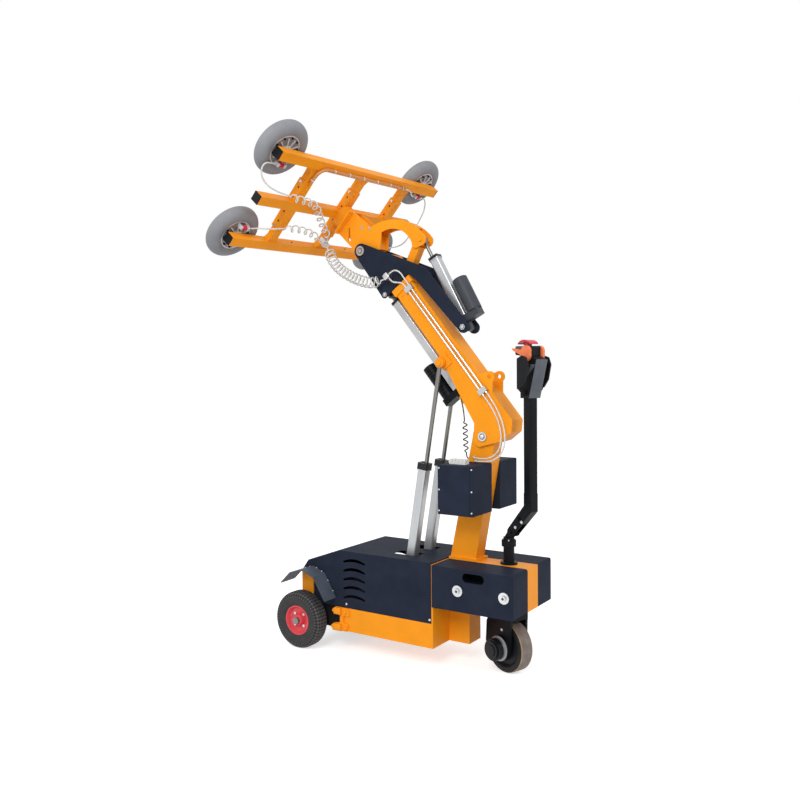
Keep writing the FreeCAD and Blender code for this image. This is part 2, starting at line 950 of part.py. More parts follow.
# Extension cylinder under the boom
ext_tube = rounded_bar(ext_tube_outer, ext_tube_outer, 6, ext_tube_rear, ext_tube_front)
ext_tube = ext_tube.cut(
    rod(V(ext_tube_rear + 20, 0, 0), V(1, 0, 0), ext_rod_radius + face_gap, ext_tube_front)
)
gland = rounded_bar(ext_tube_outer + 4, ext_tube_outer + 4, 6, ext_tube_front, ext_tube_front + 16)
gland = gland.cut(rod(V(ext_tube_front - 1, 0, 0), V(1, 0, 0), ext_rod_radius + face_gap, 20))
nodes["ext_tube"] = on_boom(fuse([ext_tube, gland]).translated(V(0, 0, ext_normal)))
motor_n = ext_normal - ext_tube_outer / 2 - ext_motor_radius - 4
gear_front = ext_tube_rear
gear_rear = ext_rear_pin + ext_gear_back
gear = box(
    gear_rear,
    gear_front,
    -ext_motor_radius,
    ext_motor_radius,
    motor_n - ext_motor_radius,
    ext_normal + ext_tube_outer / 2,
)
gear = gear.makeFillet(10, [e for e in gear.Edges if abs(e.tangentAt(e.FirstParameter).x) > 0.99])
clevis = box(
    ext_rear_pin,
    gear_rear,
    -ext_eye_width / 2,
    ext_eye_width / 2,
    ext_normal - ext_eye_radius,
    ext_normal + ext_eye_radius,
)
clevis_eye = bar_y(ext_rear_pin, ext_normal, ext_eye_radius, -ext_eye_width / 2, ext_eye_width / 2)
motor_body = rod(V(gear_front, 0, motor_n), V(1, 0, 0), ext_motor_radius, ext_motor_front - gear_front)
fins = []
for i in range(ext_motor_fins):
    x = gear_front + 20 + (ext_motor_front - gear_front - 50) * i / (ext_motor_fins - 1)
    ring = rod(V(x, 0, motor_n), V(1, 0, 0), ext_motor_radius + 1, 6)
    fins.append(ring.cut(rod(V(x - 1, 0, motor_n), V(1, 0, 0), ext_motor_radius - 3, 8)))
motor_body = motor_body.cut(Part.makeCompound(fins))
ext_motor = fuse([gear, clevis, clevis_eye, motor_body])
ext_motor = ext_motor.cut(bar_y(ext_rear_pin, ext_normal, ext_pin_radius + shaft_clearance, -h, h))
nodes["ext_motor"] = on_boom(ext_motor)

# Inner boom and jib plates
ih = h - bw - slide_gap
inner_low = boom_under + bw + slide_gap
inner_high = boom_over - bw - slide_gap
iw = inner_boom_wall
inner = box(inner_boom_rear, inner_boom_front, -ih, ih, inner_low, inner_high)
inner = inner.cut(
    box(inner_boom_rear - 1, inner_boom_front - iw, -ih + iw, ih - iw, inner_low + iw, inner_high - iw)
)
tilt_a, tilt_n = boom_local(tilt_pivot_x, tilt_pivot_z)
tail_a, tail_n = boom_local(tail_pin_x, tail_pin_z)
rod_a, rod_n = boom_local(rod_pin_x, rod_pin_z)
collar_clear = boom_front + 7
plates = []
for y0 in (ih, -ih - jib_plate):
    r = jib_nose_radius
    tr = tail_radius
    plate = face_of(
        V(tilt_a + 0.5 * r, y0, tilt_n + 0.866 * r),
        (V(tilt_a + r, y0, tilt_n), V(tilt_a, y0, tilt_n - r)),
        V(ext_front_pin + 4, y0, ext_normal - 24),
        (V(ext_front_pin - 8, y0, ext_normal - 20), V(collar_clear, y0, ext_normal - 8)),
        V(collar_clear, y0, boom_over + collar_wall + 4),
        V(collar_clear - 60, y0, boom_over + collar_wall + 18),
        V(tail_a + 0.2 * tr, y0, tail_n - 0.98 * tr),
        (V(tail_a - tr, y0, tail_n), V(tail_a, y0, tail_n + tr)),
        V(rod_a - 150, y0, boom_over + 106),
        V(rod_a - 112, y0, boom_over + 90),
    ).extrude(V(0, jib_plate, 0))
    plate = plate.cut(bar_y(tilt_a, tilt_n, tilt_pin_radius + shaft_clearance, y0 - 1, y0 + jib_plate + 1))
    plate = plate.cut(bar_y(tail_a, tail_n, tail_pin_radius + shaft_clearance, y0 - 1, y0 + jib_plate + 1))
    plates.append(
        plate.cut(
            bar_y(
                ext_front_pin, ext_normal, ext_pin_radius + shaft_clearance, y0 - 1, y0 + jib_plate + 1
            )
        )
    )
spacer = bar_y(rod_a - 150, boom_over + 70, 14, -ih, ih)
nodes["jib"] = on_boom(fuse(plates + [spacer]))
jib_out = ih + jib_plate
tilt_pin = [bar_y(tilt_a, tilt_n, tilt_pin_radius, -jib_out, jib_out)]
tilt_pin.append(bar_y(tilt_a, tilt_n, pin_head_radius + 3, jib_out, jib_out + pin_head))
tilt_pin.append(bar_y(tilt_a, tilt_n, pin_head_radius + 3, -jib_out - pin_head, -jib_out))
small_pins = [fuse(tilt_pin)]
for a, n, r in ((tail_a, tail_n, tail_pin_radius), (ext_front_pin, ext_normal, ext_pin_radius)):
    shank = bar_y(a, n, r, -jib_out - 1, jib_out + 1)
    head = nut_y(a, jib_out + 1, n, 1.5 * r, 7)
    small_pins.append(fuse([shank, head, mirrored(head)]))
nodes["jib_pins"] = on_boom(Part.makeCompound(small_pins))
ext_rod = rod(V(ext_rod_rear, 0, ext_normal), V(1, 0, 0), ext_rod_radius, ext_front_pin - ext_rod_rear)
ext_eye = bar_y(ext_front_pin, ext_normal, ext_eye_radius, -ext_eye_width / 2, ext_eye_width / 2)
ext_rod = fuse([ext_rod, ext_eye]).cut(
    bar_y(ext_front_pin, ext_normal, ext_pin_radius + shaft_clearance, -h, h)
)
nodes["ext_rod"] = on_boom(ext_rod)

# Stop post on the jib
stop_a = rod_a + 2
stop_n = rod_n - 35
stop_radius = 9.0
post_a = inner_boom_front - 122
lean = math.atan2(stop_a - post_a, stop_n - inner_high)
post_length = (stop_n - inner_high) / math.cos(lean) - stop_radius - face_gap
pd = post_depth / 2
post = [
    (post_a - pd / math.cos(lean), inner_high),
    (post_a + pd / math.cos(lean), inner_high),
    (
        post_a + post_length * math.sin(lean) + pd * math.cos(lean),
        inner_high + post_length * math.cos(lean) - pd * math.sin(lean),
    ),
    (
        post_a + post_length * math.sin(lean) - pd * math.cos(lean),
        inner_high + post_length * math.cos(lean) + pd * math.sin(lean),
    ),
]
nodes["inner_boom"] = on_boom(fuse([inner, side(post, -post_half_width, post_half_width)]))


# Tilt arm with its hook and turntable base
frame_turn = FreeCAD.Rotation(V(0, 1, 0), -frame_face_angle).multiply(
    FreeCAD.Rotation(V(1, 0, 0), frame_roll)
)
frame_place = FreeCAD.Placement(V(frame_x, 0, frame_z), frame_turn)


def on_frame(shape):
    turned = shape.copy()
    turned.Placement = frame_place.multiply(turned.Placement)
    return turned


def frame_point(n, u, v):
    return frame_place.multVec(V(n, u, v))


beam_half = beam_size / 2
ring_height = rotator_height / 2
base_back = -beam_half - rotator_height - face_gap
flange_back = base_back - flange_plate
flange_low = frame_point(flange_back, 0, -rotator_radius - 8)
flange_high = frame_point(flange_back, 0, rotator_radius + 8)
stop_at = boom_place.multVec(V(stop_a, 0, stop_n))
hook = []
for y0 in (arm_half_width - arm_plate, -arm_half_width):
    px = tilt_pivot_x
    pz = tilt_pivot_z
    rx = rod_pin_x
    rz = rod_pin_z
    r = arm_tip_radius
    plate = face_of(
        V(flange_low.x, y0, flange_low.z),
        V(px + 0.8 * arm_hub_radius, y0, pz - 0.6 * arm_hub_radius),
        (V(px, y0, pz - arm_hub_radius), V(px - 0.5 * arm_hub_radius, y0, pz - 0.866 * arm_hub_radius)),
        V(px - 112, y0, pz + 2),
        V(px - 120, y0, pz + 92),
        (V(0.5 * (px + rx) - 45, y0, pz + 98), V(stop_at.x + 24, y0, stop_at.z + 8)),
        (V(stop_at.x + 5, y0, stop_at.z - 20), V(stop_at.x - 16, y0, stop_at.z - 16)),
        V(rx - 0.5 * r, y0, rz - 0.866 * r),
        (V(rx - r, y0, rz), V(rx - 0.82 * r, y0, rz + 0.57 * r)),
        (V(0.5 * (px + rx) - 20, y0, pz + 152), V(px - 52, y0, pz + 126)),
        V(flange_high.x, y0, flange_high.z),
    )
    hook.append(plate.extrude(V(0, arm_plate, 0)))
arch = plate.extrude(V(0, 2 * arm_half_width, 0))
arch = arch.cut(arch.translated(V(0, 0, -arm_plate)))
hook.append(
    arch.common(
        box(
            rod_pin_x + arm_tip_radius,
            tilt_pivot_x - 2 * arm_hub_radius,
            -arm_half_width,
            arm_half_width,
            tilt_pivot_z + 2 * arm_hub_radius,
            tilt_pivot_z + 6 * arm_hub_radius,
        )
    )
)
hook.append(bar_y(tilt_pivot_x, tilt_pivot_z, arm_hub_radius - 3, -ih + 2, ih - 2))
leg = side(
    [
        (tilt_pivot_x - 112, tilt_pivot_z + 4),
        (tilt_pivot_x - 100, tilt_pivot_z + 4),
        (tilt_pivot_x - 64, tilt_pivot_z + 118),
        (tilt_pivot_x - 76, tilt_pivot_z + 118),
    ],
    -arm_half_width,
    arm_half_width,
)
hook.append(leg)
hook.append(bar_y(stop_at.x, stop_at.z, stop_radius, -arm_half_width, arm_half_width))
hook.append(
    on_frame(
        box(
            flange_back,
            flange_back + flange_plate,
            -rotator_radius - 8,
            rotator_radius + 8,
            -rotator_radius - 8,
            rotator_radius + 8,
        )
    )
)
hook.append(on_frame(rod(V(flange_back, 0, 0), V(1, 0, 0), rotator_radius, flange_plate + ring_height)))
tilt_arm = fuse(hook)
tilt_arm = tilt_arm.cut(bar_y(tilt_pivot_x, tilt_pivot_z, tilt_pin_radius + shaft_clearance, -ih, ih))
window = [(0.38, 0.30), (0.66, 0.30), (0.60, 0.62), (0.46, 0.62)]
reach_x = flange_high.x - tilt_pivot_x
reach_z = flange_high.z - tilt_pivot_z
slots = side(
    [(tilt_pivot_x + kx * reach_x + 60, tilt_pivot_z + kz * reach_z) for kx, kz in window], -ih, ih
)
rod_pin = bar_y(rod_pin_x, rod_pin_z, rod_pin_radius, -arm_half_width - 8, arm_half_width + 8)
nodes["tilt_arm"] = fuse([tilt_arm.cut(slots), rod_pin])


# Swinging cylinders: the line of a cylinder turns at a steady share of its lever
def steady_swing(pivot, foot, eye, travel):
    def line_angle(turn):
        arm = FreeCAD.Rotation(V(0, 1, 0), turn).multVec(eye - pivot)
        line = pivot + arm - foot
        return math.degrees(math.atan2(line.x, line.z))

    first = 0.146 * travel
    last = 0.854 * travel
    share = (line_angle(last) - line_angle(first)) / (last - first)
    return line_angle(first) - share * first, share


def upright(shape, at, angle):
    placed = shape.copy()
    placed.Placement = FreeCAD.Placement(at, FreeCAD.Rotation(V(0, 1, 0), angle))
    return placed


def square_tube(outer, wall, corner, z0, z1):
    tube = rounded_bar(outer, outer, corner, z0, z1)
    bore = box(z0 - 1, z1 + 1, -outer / 2 + wall, outer / 2 - wall, -outer / 2 + wall, outer / 2 - wall)
    tube = tube.cut(bore)
    tube.rotate(V(0, 0, 0), V(0, 1, 0), -90)
    return tube


def head_cap(outer, float_x, float_y, z0, z1):
    cap = rounded_bar(outer, outer, 6, z0, z1)
    cap.rotate(V(0, 0, 0), V(0, 1, 0), -90)
    return cap.cut(box(-float_x, float_x, -float_y, float_y, z0 - 1, z1 + 1))


# Lift cylinders
lift_eye_at = boom_place.multVec(V(lift_boom_along, 0, lift_boom_normal))
lift_travel = 45.0
lift_angle, lift_share = steady_swing(
    V(boom_pivot_x, 0, boom_pivot_z), V(lift_foot_x, 0, lift_foot_z), lift_eye_at, lift_travel
)
ew = lift_eye_width / 2
lift_start = 2 * lift_eye_radius
tube = square_tube(lift_tube_outer, lift_tube_wall, lift_tube_round, lift_start, lift_tube_end)
foot = box(-lift_tube_outer / 2, lift_tube_outer / 2, -ew, ew, 0, lift_start)
plug = box(
    -lift_tube_outer / 2 + 1,
    lift_tube_outer / 2 - 1,
    -lift_tube_outer / 2 + 1,
    lift_tube_outer / 2 - 1,
    lift_start - 8,
    lift_start + 14,
)
foot_eye = bar_y(0, 0, lift_eye_radius, -ew, ew)
cap = head_cap(
    lift_tube_outer + 8,
    lift_rod_radius + lift_float,
    lift_rod_radius + 1,
    lift_tube_end - 4,
    lift_tube_end + lift_gland,
)
lift_tube = fuse([tube, foot, plug, foot_eye, cap]).cut(
    bar_y(0, 0, lift_pin_radius + shaft_clearance, -ew - 1, ew + 1)
)
lift_rod = rod(V(0, 0, -lift_rod_length), V(0, 0, 1), lift_rod_radius, lift_rod_length)
lift_rod = fuse([lift_rod, bar_y(0, 0, lift_eye_radius, -ew, ew)])
lift_rod = lift_rod.cut(bar_y(0, 0, lift_pin_radius + shaft_clearance, -ew - 1, ew + 1))
for name, s in (("left", 1), ("right", -1)):
    nodes["lift_tube_" + name] = upright(lift_tube, V(lift_foot_x, s * lift_y, lift_foot_z), lift_angle)
    nodes["lift_rod_" + name] = upright(lift_rod, V(lift_eye_at.x, s * lift_y, lift_eye_at.z), lift_angle)

# Tilt cylinder
tilt_travel = 40.0
tail_at = V(tail_pin_x, 0, tail_pin_z)
rod_at = V(rod_pin_x, 0, rod_pin_z)
tilt_angle, tilt_share = steady_swing(V(tilt_pivot_x, 0, tilt_pivot_z), tail_at, rod_at, tilt_travel)
tube = square_tube(tilt_tube_outer, tilt_tube_wall, 8, tilt_tube_start, tilt_tube_end)
cap = head_cap(
    tilt_tube_outer + 6,
    tilt_rod_radius + tilt_float,
    tilt_rod_radius + 1,
    tilt_tube_end - 4,
    tilt_tube_end + tilt_gland,
)
nodes["tilt_tube"] = upright(fuse([tube, cap]), tail_at, tilt_angle)
tw = 16.0
gear_top = tilt_tube_start
gear = box(-tilt_motor_offset - tilt_motor_radius + 8, tilt_tube_outer / 2, -30, 30, 26, gear_top)
gear = gear.makeFillet(8, [e for e in gear.Edges if abs(e.tangentAt(e.FirstParameter).z) > 0.99])
tail = box(-20, 20, -tw, tw, 0, 27)
tail_eye = bar_y(0, 0, 20, -tw, tw)
motor = rod(
    V(-tilt_motor_offset, 0, gear_top - 1), V(0, 0, 1), tilt_motor_radius, tilt_motor_end - gear_top + 1
)
top_edges = [
    e
    for e in motor.Edges if abs(
        e.BoundBox.ZMin - tilt_motor_end
    ) < 0.1 and abs(e.BoundBox.ZMax - tilt_motor_end) < 0.1
]
motor = motor.makeFillet(7, top_edges)
tilt_motor = fuse([gear, tail, tail_eye, motor]).cut(
    bar_y(0, 0, tail_pin_radius + shaft_clearance, -tw - 1, tw + 1)
)
nodes["tilt_motor"] = upright(tilt_motor, tail_at, tilt_angle)
tilt_length = (rod_at - tail_at).Length
rod_eye = bar_y(0, 0, tilt_eye_radius, -tilt_eye_half_width, tilt_eye_half_width)
tilt_rod = rod(
    V(0, 0, tilt_rod_tail - tilt_length), V(0, 0, 1), tilt_rod_radius, tilt_length - tilt_rod_tail
)
tilt_rod = fuse([tilt_rod, rod_eye]).cut(
    bar_y(0, 0, rod_pin_radius + shaft_clearance, -2 * tilt_eye_half_width, 2 * tilt_eye_half_width)
)
nodes["tilt_rod"] = upright(tilt_rod, rod_at, tilt_angle)

# Vacuum frame
def beam(half_length, v):
    block = box(-beam_half, beam_half, -half_length, half_length, v - beam_half, v + beam_half)
    inside = beam_half - beam_wall
    return block.cut(box(-inside, inside, -half_length - 1, half_length + 1, v - inside, v + inside))


nodes["upper_beam"] = on_frame(beam(beam_half_length, beam_spacing))
nodes["lower_beam"] = on_frame(beam(beam_half_length, -beam_spacing))
ring = rod(V(-beam_half - ring_height, 0, 0), V(1, 0, 0), rotator_radius, ring_height)
nodes["middle_beam"] = on_frame(fuse([beam(middle_half_length, 0), ring]))
caps = []
for half_length, v in (
    (beam_half_length, beam_spacing), (middle_half_length, 0), (beam_half_length, -beam_spacing)
):
    for y0 in (half_length, -half_length - cap_depth):
        caps.append(box(-beam_half, beam_half, y0, y0 + cap_depth, v - beam_half, v + beam_half))
nodes["beam_caps"] = on_frame(Part.makeCompound(caps))
arms = []
sd = sleeve_depth / 2
sw = sleeve_width / 2
beam_face = beam_spacing - beam_half
for u in (-arm_spacing, 0, arm_spacing):
    for s in (1, -1):
        sleeve = box(-sd, sd, u - sw, u + sw, beam_half, sleeve_end)
        sleeve = sleeve.cut(
            box(
                -sd + sleeve_wall,
                sd - sleeve_wall,
                u - sw + sleeve_wall,
                u + sw - sleeve_wall,
                beam_half - 1,
                sleeve_end - 30,
            )
        )
        strut = face_of(
            V(-strut_depth / 2, u - strut_width / 2, sleeve_end - 30),
            V(-strut_depth / 2, u + strut_width / 2, sleeve_end - 30),
            V(-strut_depth / 2, u + strut_width / 2, beam_face - strut_flare),
            V(-strut_depth / 2, u + strut_width / 2 + 0.5 * strut_flare, beam_face),
            V(-strut_depth / 2, u - strut_width / 2 - 0.5 * strut_flare, beam_face),
            V(-strut_depth / 2, u - strut_width / 2, beam_face - strut_flare),
        ).extrude(V(strut_depth, 0, 0))
        bolts = [rod(V(-sd - 5, u, sleeve_end - k), V(1, 0, 0), 7, 6) for k in (24, 64)]
        arm = fuse([sleeve, strut] + bolts)
        arms.append(arm if s > 0 else arm.mirror(V(0, 0, 0), V(0, 0, 1)))
nodes["cross_arms"] = on_frame(Part.makeCompound(arms))

# Suction cups
hub_back = beam_half
seat = cup_seat_radius
hub_n = hub_back + 15
rubber_line = face_of(
    V(hub_n + 4, seat, 0),
    V(hub_n, seat, 0),
    (V(hub_n - cup_bulge, seat + 24, 0), V(hub_n + 12, cup_radius - 6, 0)),
    (V(hub_n + 26, cup_radius, 0), V(cup_face - 8, cup_radius - 1, 0)),
    V(cup_face, cup_radius - 6, 0),
    V(cup_face - 6, cup_radius - 14, 0),
    V(hub_n + cup_hub_plate + 14, seat + 12, 0),
    V(hub_n + cup_hub_plate + 4, seat, 0),
)
rubber = rubber_line.revolve(V(0, 0, 0), V(1, 0, 0), 360)
disc = rod(V(hub_n, 0, 0), V(1, 0, 0), seat - face_gap, cup_hub_plate)
boss = rod(V(hub_back, 0, 0), V(1, 0, 0), cup_boss_radius, hub_n - hub_back + 1)
hub_parts = [disc, boss]
for i in range(cup_ribs):
    rib = box(hub_n - cup_rib_height, hub_n + 1, -2.5, 2.5, cup_boss_radius - 2, seat - 14)
    rib.rotate(V(0, 0, 0), V(1, 0, 0), 360.0 * (i + 0.5) / cup_ribs)
    hub_parts.append(rib)
hub_plain = fuse(hub_parts)
valve_n = hub_n - cup_rib_height - valve_sleeve_radius - 1
rubbers = []
hubs = []
sleeves = {}
for name, su, sv in (
    ("upper_left", 1, 1), ("upper_right", -1, 1), ("lower_left", 1, -1), ("lower_right", -1, -1)
):
    at = V(0, su * cup_u, sv * beam_spacing)
    rubbers.append(rubber.translated(at))
    v = sv * (beam_spacing - valve_v)
    u = su * cup_u
    body = rod(V(valve_n, u - valve_length / 2, v), V(0, 1, 0), valve_radius, valve_length)
    feet = []
    for k in (-1, 1):
        y = u + k * (valve_length / 2 - 9)
        feet.append(
            box(
                valve_n - valve_radius - 2,
                hub_n + 1,
                y - 5,
                y + 5,
                v - valve_radius - 2,
                v + valve_radius + 2,
            )
        )
    hubs.append(fuse([hub_plain.translated(at), body] + feet))
    ring = rod(
        V(valve_n, u - valve_sleeve_length / 2, v), V(0, 1, 0), valve_sleeve_radius, valve_sleeve_length
    )
    ring = ring.cut(
        rod(
            V(valve_n, u - valve_sleeve_length, v),
            V(0, 1, 0),
            valve_radius + face_gap,
            2 * valve_sleeve_length,
        )
    )
    sleeves[name] = ring
nodes["cup_rubbers"] = on_frame(Part.makeCompound(rubbers))
nodes["cup_hubs"] = on_frame(Part.makeCompound(hubs))
for name, ring in sleeves.items():
    nodes["valve_" + name] = on_frame(ring)

# Steering unit, drawn straight ahead and then turned
steer_turn = FreeCAD.Placement(V(0, 0, 0), FreeCAD.Rotation(V(0, 0, 1), steer_angle))


def on_steer(shape):
    turned = shape.copy()
    turned.Placement = steer_turn.multiply(turned.Placement)
    return turned


half = drive_width / 2
drive_line = face_of(
    V(drive_axle_radius + shaft_clearance, -half + 14, 0),
    V(drive_core_radius - 14, -half + 14, 0),
    V(drive_core_radius, -half, 0),
    V(drive_radius - 9, -half, 0),
    (V(drive_radius - 2.6, -half + 2.6, 0), V(drive_radius, -half + 9, 0)),
    V(drive_radius, half - 9, 0),
    (V(drive_radius - 2.6, half - 2.6, 0), V(drive_radius - 9, half, 0)),
    V(drive_core_radius, half, 0),
    V(drive_core_radius - 14, half - 14, 0),
    V(drive_axle_radius + shaft_clearance, half - 14, 0),
)
wheel = drive_line.revolve(V(0, 0, 0), V(0, 1, 0), 360)
nodes["drive_wheel"] = on_steer(wheel.translated(V(0, 0, drive_radius)))
cheek_in = half + fork_gap
cheek_out = cheek_in + fork_plate
cheek = face_of(
    V(-fork_half_length, cheek_in, fork_top),
    V(-fork_waist, cheek_in, drive_radius),
    (
        V(0, cheek_in, drive_radius - fork_waist),
        V(fork_heel, cheek_in, drive_radius - fork_heel_drop),
    ),
    V(fork_nose, cheek_in, drive_radius + fork_nose_lift),
    V(fork_shoulder, cheek_in, fork_top - fork_shoulder_drop),
    V(fork_half_length, cheek_in, fork_top),
).extrude(V(0, fork_plate, 0))
bridge = box(
    -fork_half_length, fork_half_length, -cheek_out, cheek_out, fork_top - fork_bridge, fork_top
)
bridge = bridge.makeFillet(
    fork_edge,
    [
        e
        for e in bridge.Edges if abs(
            e.tangentAt(e.FirstParameter).y
        ) > 0.99 and e.BoundBox.ZMin > fork_top - 1
    ],
)
drive_axle = bar_y(0, drive_radius, drive_axle_radius, -cheek_out, cheek_out)
column = rod(V(0, 0, fork_top - 1), V(0, 0, 1), column_radius, column_top - fork_top + 1)
flange_z = spine_top + face_gap
flange = rod(V(0, 0, flange_z), V(0, 0, 1), column_flange_radius, column_flange)
clamp_ring = rod(
    V(0, 0, column_top - clamp_ring_drop), V(0, 0, 1), column_radius + clamp_ring_wall, clamp_ring_height
)
lug = face_of(
    V(column_radius - 6, -tiller_lug_half_width, column_top - 4),
    V(-tiller_pivot_back + tiller_lug_radius, -tiller_lug_half_width, tiller_pivot_z + tiller_lug_rise),
    (
        V(-tiller_pivot_back, -tiller_lug_half_width, tiller_pivot_z + tiller_lug_radius),
        V(-tiller_pivot_back - tiller_lug_radius, -tiller_lug_half_width, tiller_pivot_z),
    ),
    V(6 - column_radius, -tiller_lug_half_width, column_top - 4),
).extrude(V(0, 2 * tiller_lug_half_width, 0))
fork = fuse([cheek, mirrored(cheek), bridge, drive_axle, column, flange, clamp_ring, lug])
fork = fork.cut(
    bar_y(
        -tiller_pivot_back,
        tiller_pivot_z,
        tiller_pin_radius + shaft_clearance,
        -2 * tiller_lug_half_width,
        2 * tiller_lug_half_width,
    )
)
nodes["drive_fork"] = on_steer(fork)
motor_y = cheek_out
motor = spun(
    [
        V(0, motor_y, 0),
        V(motor_radius + 10, motor_y, 0),
        V(motor_radius + 10, motor_y + 14, 0),
        V(motor_radius, motor_y + 18, 0),
        V(motor_radius, motor_y + motor_reach - 12, 0),
        V(motor_radius - 8, motor_y + motor_reach - 12, 0),
        V(motor_radius - 8, motor_y + motor_reach - 4, 0),
        V(motor_radius - 24, motor_y + motor_reach - 4, 0),
        V(motor_radius - 24, motor_y + motor_reach, 0),
        V(0, motor_y + motor_reach, 0),
    ],
    V(0, 1, 0),
)
nodes["drive_motor"] = on_steer(motor.translated(V(0, 0, drive_radius)))

# Tiller
fork_half = tiller_lug_half_width + 1 + tiller_fork_plate
tt = tiller_tube / 2
bend_x = -tiller_bend_back
pivot_x = -tiller_pivot_back
lower_arm = face_of(
    V(pivot_x + 20, -fork_half, tiller_pivot_z + 12),
    V(bend_x + tt, -fork_half, tiller_bend_z),
    V(bend_x + tt, -fork_half, tiller_bend_z + 60),
    V(bend_x - tt, -fork_half, tiller_bend_z + 60),
    V(bend_x - tt, -fork_half, tiller_bend_z - 26),
    V(pivot_x - 22, -fork_half, tiller_pivot_z - 8),
    (V(pivot_x, -fork_half, tiller_pivot_z - 23), V(pivot_x + 22, -fork_half, tiller_pivot_z - 6)),
).extrude(V(0, 2 * fork_half, 0))
gap = box(
    pivot_x - 75,
    60,
    -tiller_lug_half_width - 1,
    tiller_lug_half_width + 1,
    tiller_pivot_z - 40,
    tiller_pivot_z + 75,
)
lower_arm = lower_arm.cut(gap)
upper_tube = rounded_bar(tiller_tube, tiller_tube, 9, 0, tiller_tube_top - tiller_bend_z - 20)
upper_tube.rotate(V(0, 0, 0), V(0, 1, 0), -90)
upper_tube = upper_tube.translated(V(bend_x, 0, tiller_bend_z + 20))
arm_bolt = nut_y(bend_x + 62, fork_half, tiller_bend_z - 70, 11, 8)
tiller_pin = bar_y(pivot_x, tiller_pivot_z, tiller_pin_radius, -fork_half - 5, fork_half + 5)
tiller_arm = fuse([lower_arm, upper_tube, arm_bolt, mirrored(arm_bolt), tiller_pin])
nodes["tiller_arm"] = on_steer(tiller_arm)
head_top = head_bottom + head_height
lever_z = head_top - lever_drop


# Tiller head: a stem that leans back, a console above it and a guard on each side
def tiller_side(points, y0, y1):
    return side([(bend_x + x, z) for x, z in points], y0, y1)


def rounded_across(block, corner):
    return block.makeFillet(corner, [e for e in block.Edges if abs(e.tangentAt(e.FirstParameter).y) > 0.99])


console_bottom = head_top - console_height
stem_line = [
    (-tt - head_wall, head_bottom),
    (tt + head_wall, head_bottom),
    (tt + head_wall + 2, console_bottom + 6),
    (-console_back, console_bottom + 6),
    (-stem_back, console_bottom - 12),
]
stem = rounded_across(tiller_side(stem_line, -stem_half_width, stem_half_width), 4)
console_line = [
    (-console_back, console_bottom),
    (console_ahead, console_bottom + 12),
    (console_ahead, head_top),
    (-console_back, head_top),
]
console = rounded_across(tiller_side(console_line, -stem_half_width, stem_half_width), 8)
guard_line = [
    (guard_ahead, head_bottom + 40),
    (guard_ahead, console_bottom - 6),
    (guard_ahead - 30, console_bottom + 8),
    (-guard_back + 14, console_bottom),
    (-guard_back, console_bottom - 34),
    (-0.74 * guard_back, head_bottom + 88),
    (-0.3 * guard_back, head_bottom + 52),
]
guard_in = head_half_width - guard_plate
guard = rounded_across(tiller_side(guard_line, guard_in, head_half_width), 6)
lower_bridge = face_of(
    V(bend_x - 12, stem_half_width - 2, head_bottom + 8),
    V(bend_x - 12, guard_in + 2, head_bottom + 42),
    V(bend_x - 12, guard_in + 2, head_bottom + 58),
    V(bend_x - 12, stem_half_width - 2, head_bottom + 30),
).extrude(V(20, 0, 0))
bridge_top = lever_z - lever_reach - 8
upper_bridge = box(
    bend_x - 0.6 * guard_back,
    bend_x + guard_ahead - 2,
    stem_half_width - 2,
    guard_in + 2,
    bridge_top - 14,
    bridge_top,
)
sides = [guard, lower_bridge, upper_bridge]
head = fuse([stem, console] + sides + [mirrored(shape) for shape in sides])
tube_room = tt + face_gap
socket = box(
    bend_x - tube_room,
    bend_x + tube_room,
    -tube_room,
    tube_room,
    head_bottom - 1,
    tiller_tube_top + 0.5,
)
head = head.cut(socket)
lever_x = bend_x - lever_back
head = head.cut(bar_y(lever_x, lever_z, lever_pin_radius + face_gap, -head_half_width, head_half_width))
button_x = bend_x + 0.5 * (console_ahead - console_back)
pocket = box(
    button_x - button_stem - 1,
    button_x + button_stem + 1,
    -button_stem - 1,
    button_stem + 1,
    head_top - button_stem,
    head_top + 1,
)
nodes["tiller_head"] = on_steer(head.cut(pocket))
paddle_in = stem_half_width + face_gap + 0.7
paddle_out = paddle_in + paddle_width
lever = [bar_y(lever_x, lever_z, lever_pin_radius, -paddle_out, paddle_out)]
for s in (1, -1):
    wing = face_of(
        V(lever_x + 0.4 * lever_reach, s * paddle_in, lever_z - 0.3 * lever_reach),
        V(lever_x + paddle_beak, s * paddle_in, lever_z + 0.3 * lever_reach),
        V(lever_x + paddle_beak + 6, s * paddle_in, lever_z + 0.55 * lever_reach),
        V(lever_x + 0.5 * lever_reach, s * paddle_in, lever_z + 0.35 * lever_reach),
        (
            V(lever_x, s * paddle_in, lever_z + 0.8 * lever_reach),
            V(lever_x - 0.7 * lever_reach, s * paddle_in, lever_z),
        ),
        (
            V(lever_x - 0.3 * lever_reach, s * paddle_in, lever_z - 0.9 * lever_reach),
            V(lever_x + 0.2 * lever_reach, s * paddle_in, lever_z - lever_reach),
        ),
    )
    lever.append(wing.extrude(V(0, s * paddle_width, 0)))
nodes["thumb_lever"] = on_steer(fuse(lever))
button_z = head_top + button_travel
y0 = -button_half_width
pad = face_of(
    V(button_x - button_half_length, y0, button_z),
    (
        V(button_x, y0, button_z + button_height - button_band),
        V(button_x + button_half_length, y0, button_z),
    ),
    V(button_x + button_half_length, y0, button_z + 0.6 * button_band),
    (
        V(button_x, y0, button_z + button_height),
        V(button_x - button_half_length, y0, button_z + 0.6 * button_band),
    ),
).extrude(V(0, 2 * button_half_width, 0))
stem_end = box(
    button_x - button_stem,
    button_x + button_stem,
    -button_stem,
    button_stem,
    button_z - button_stem,
    button_z + button_height - 0.5 * button_band,
)
nodes["belly_button"] = on_steer(fuse([pad, stem_end]))

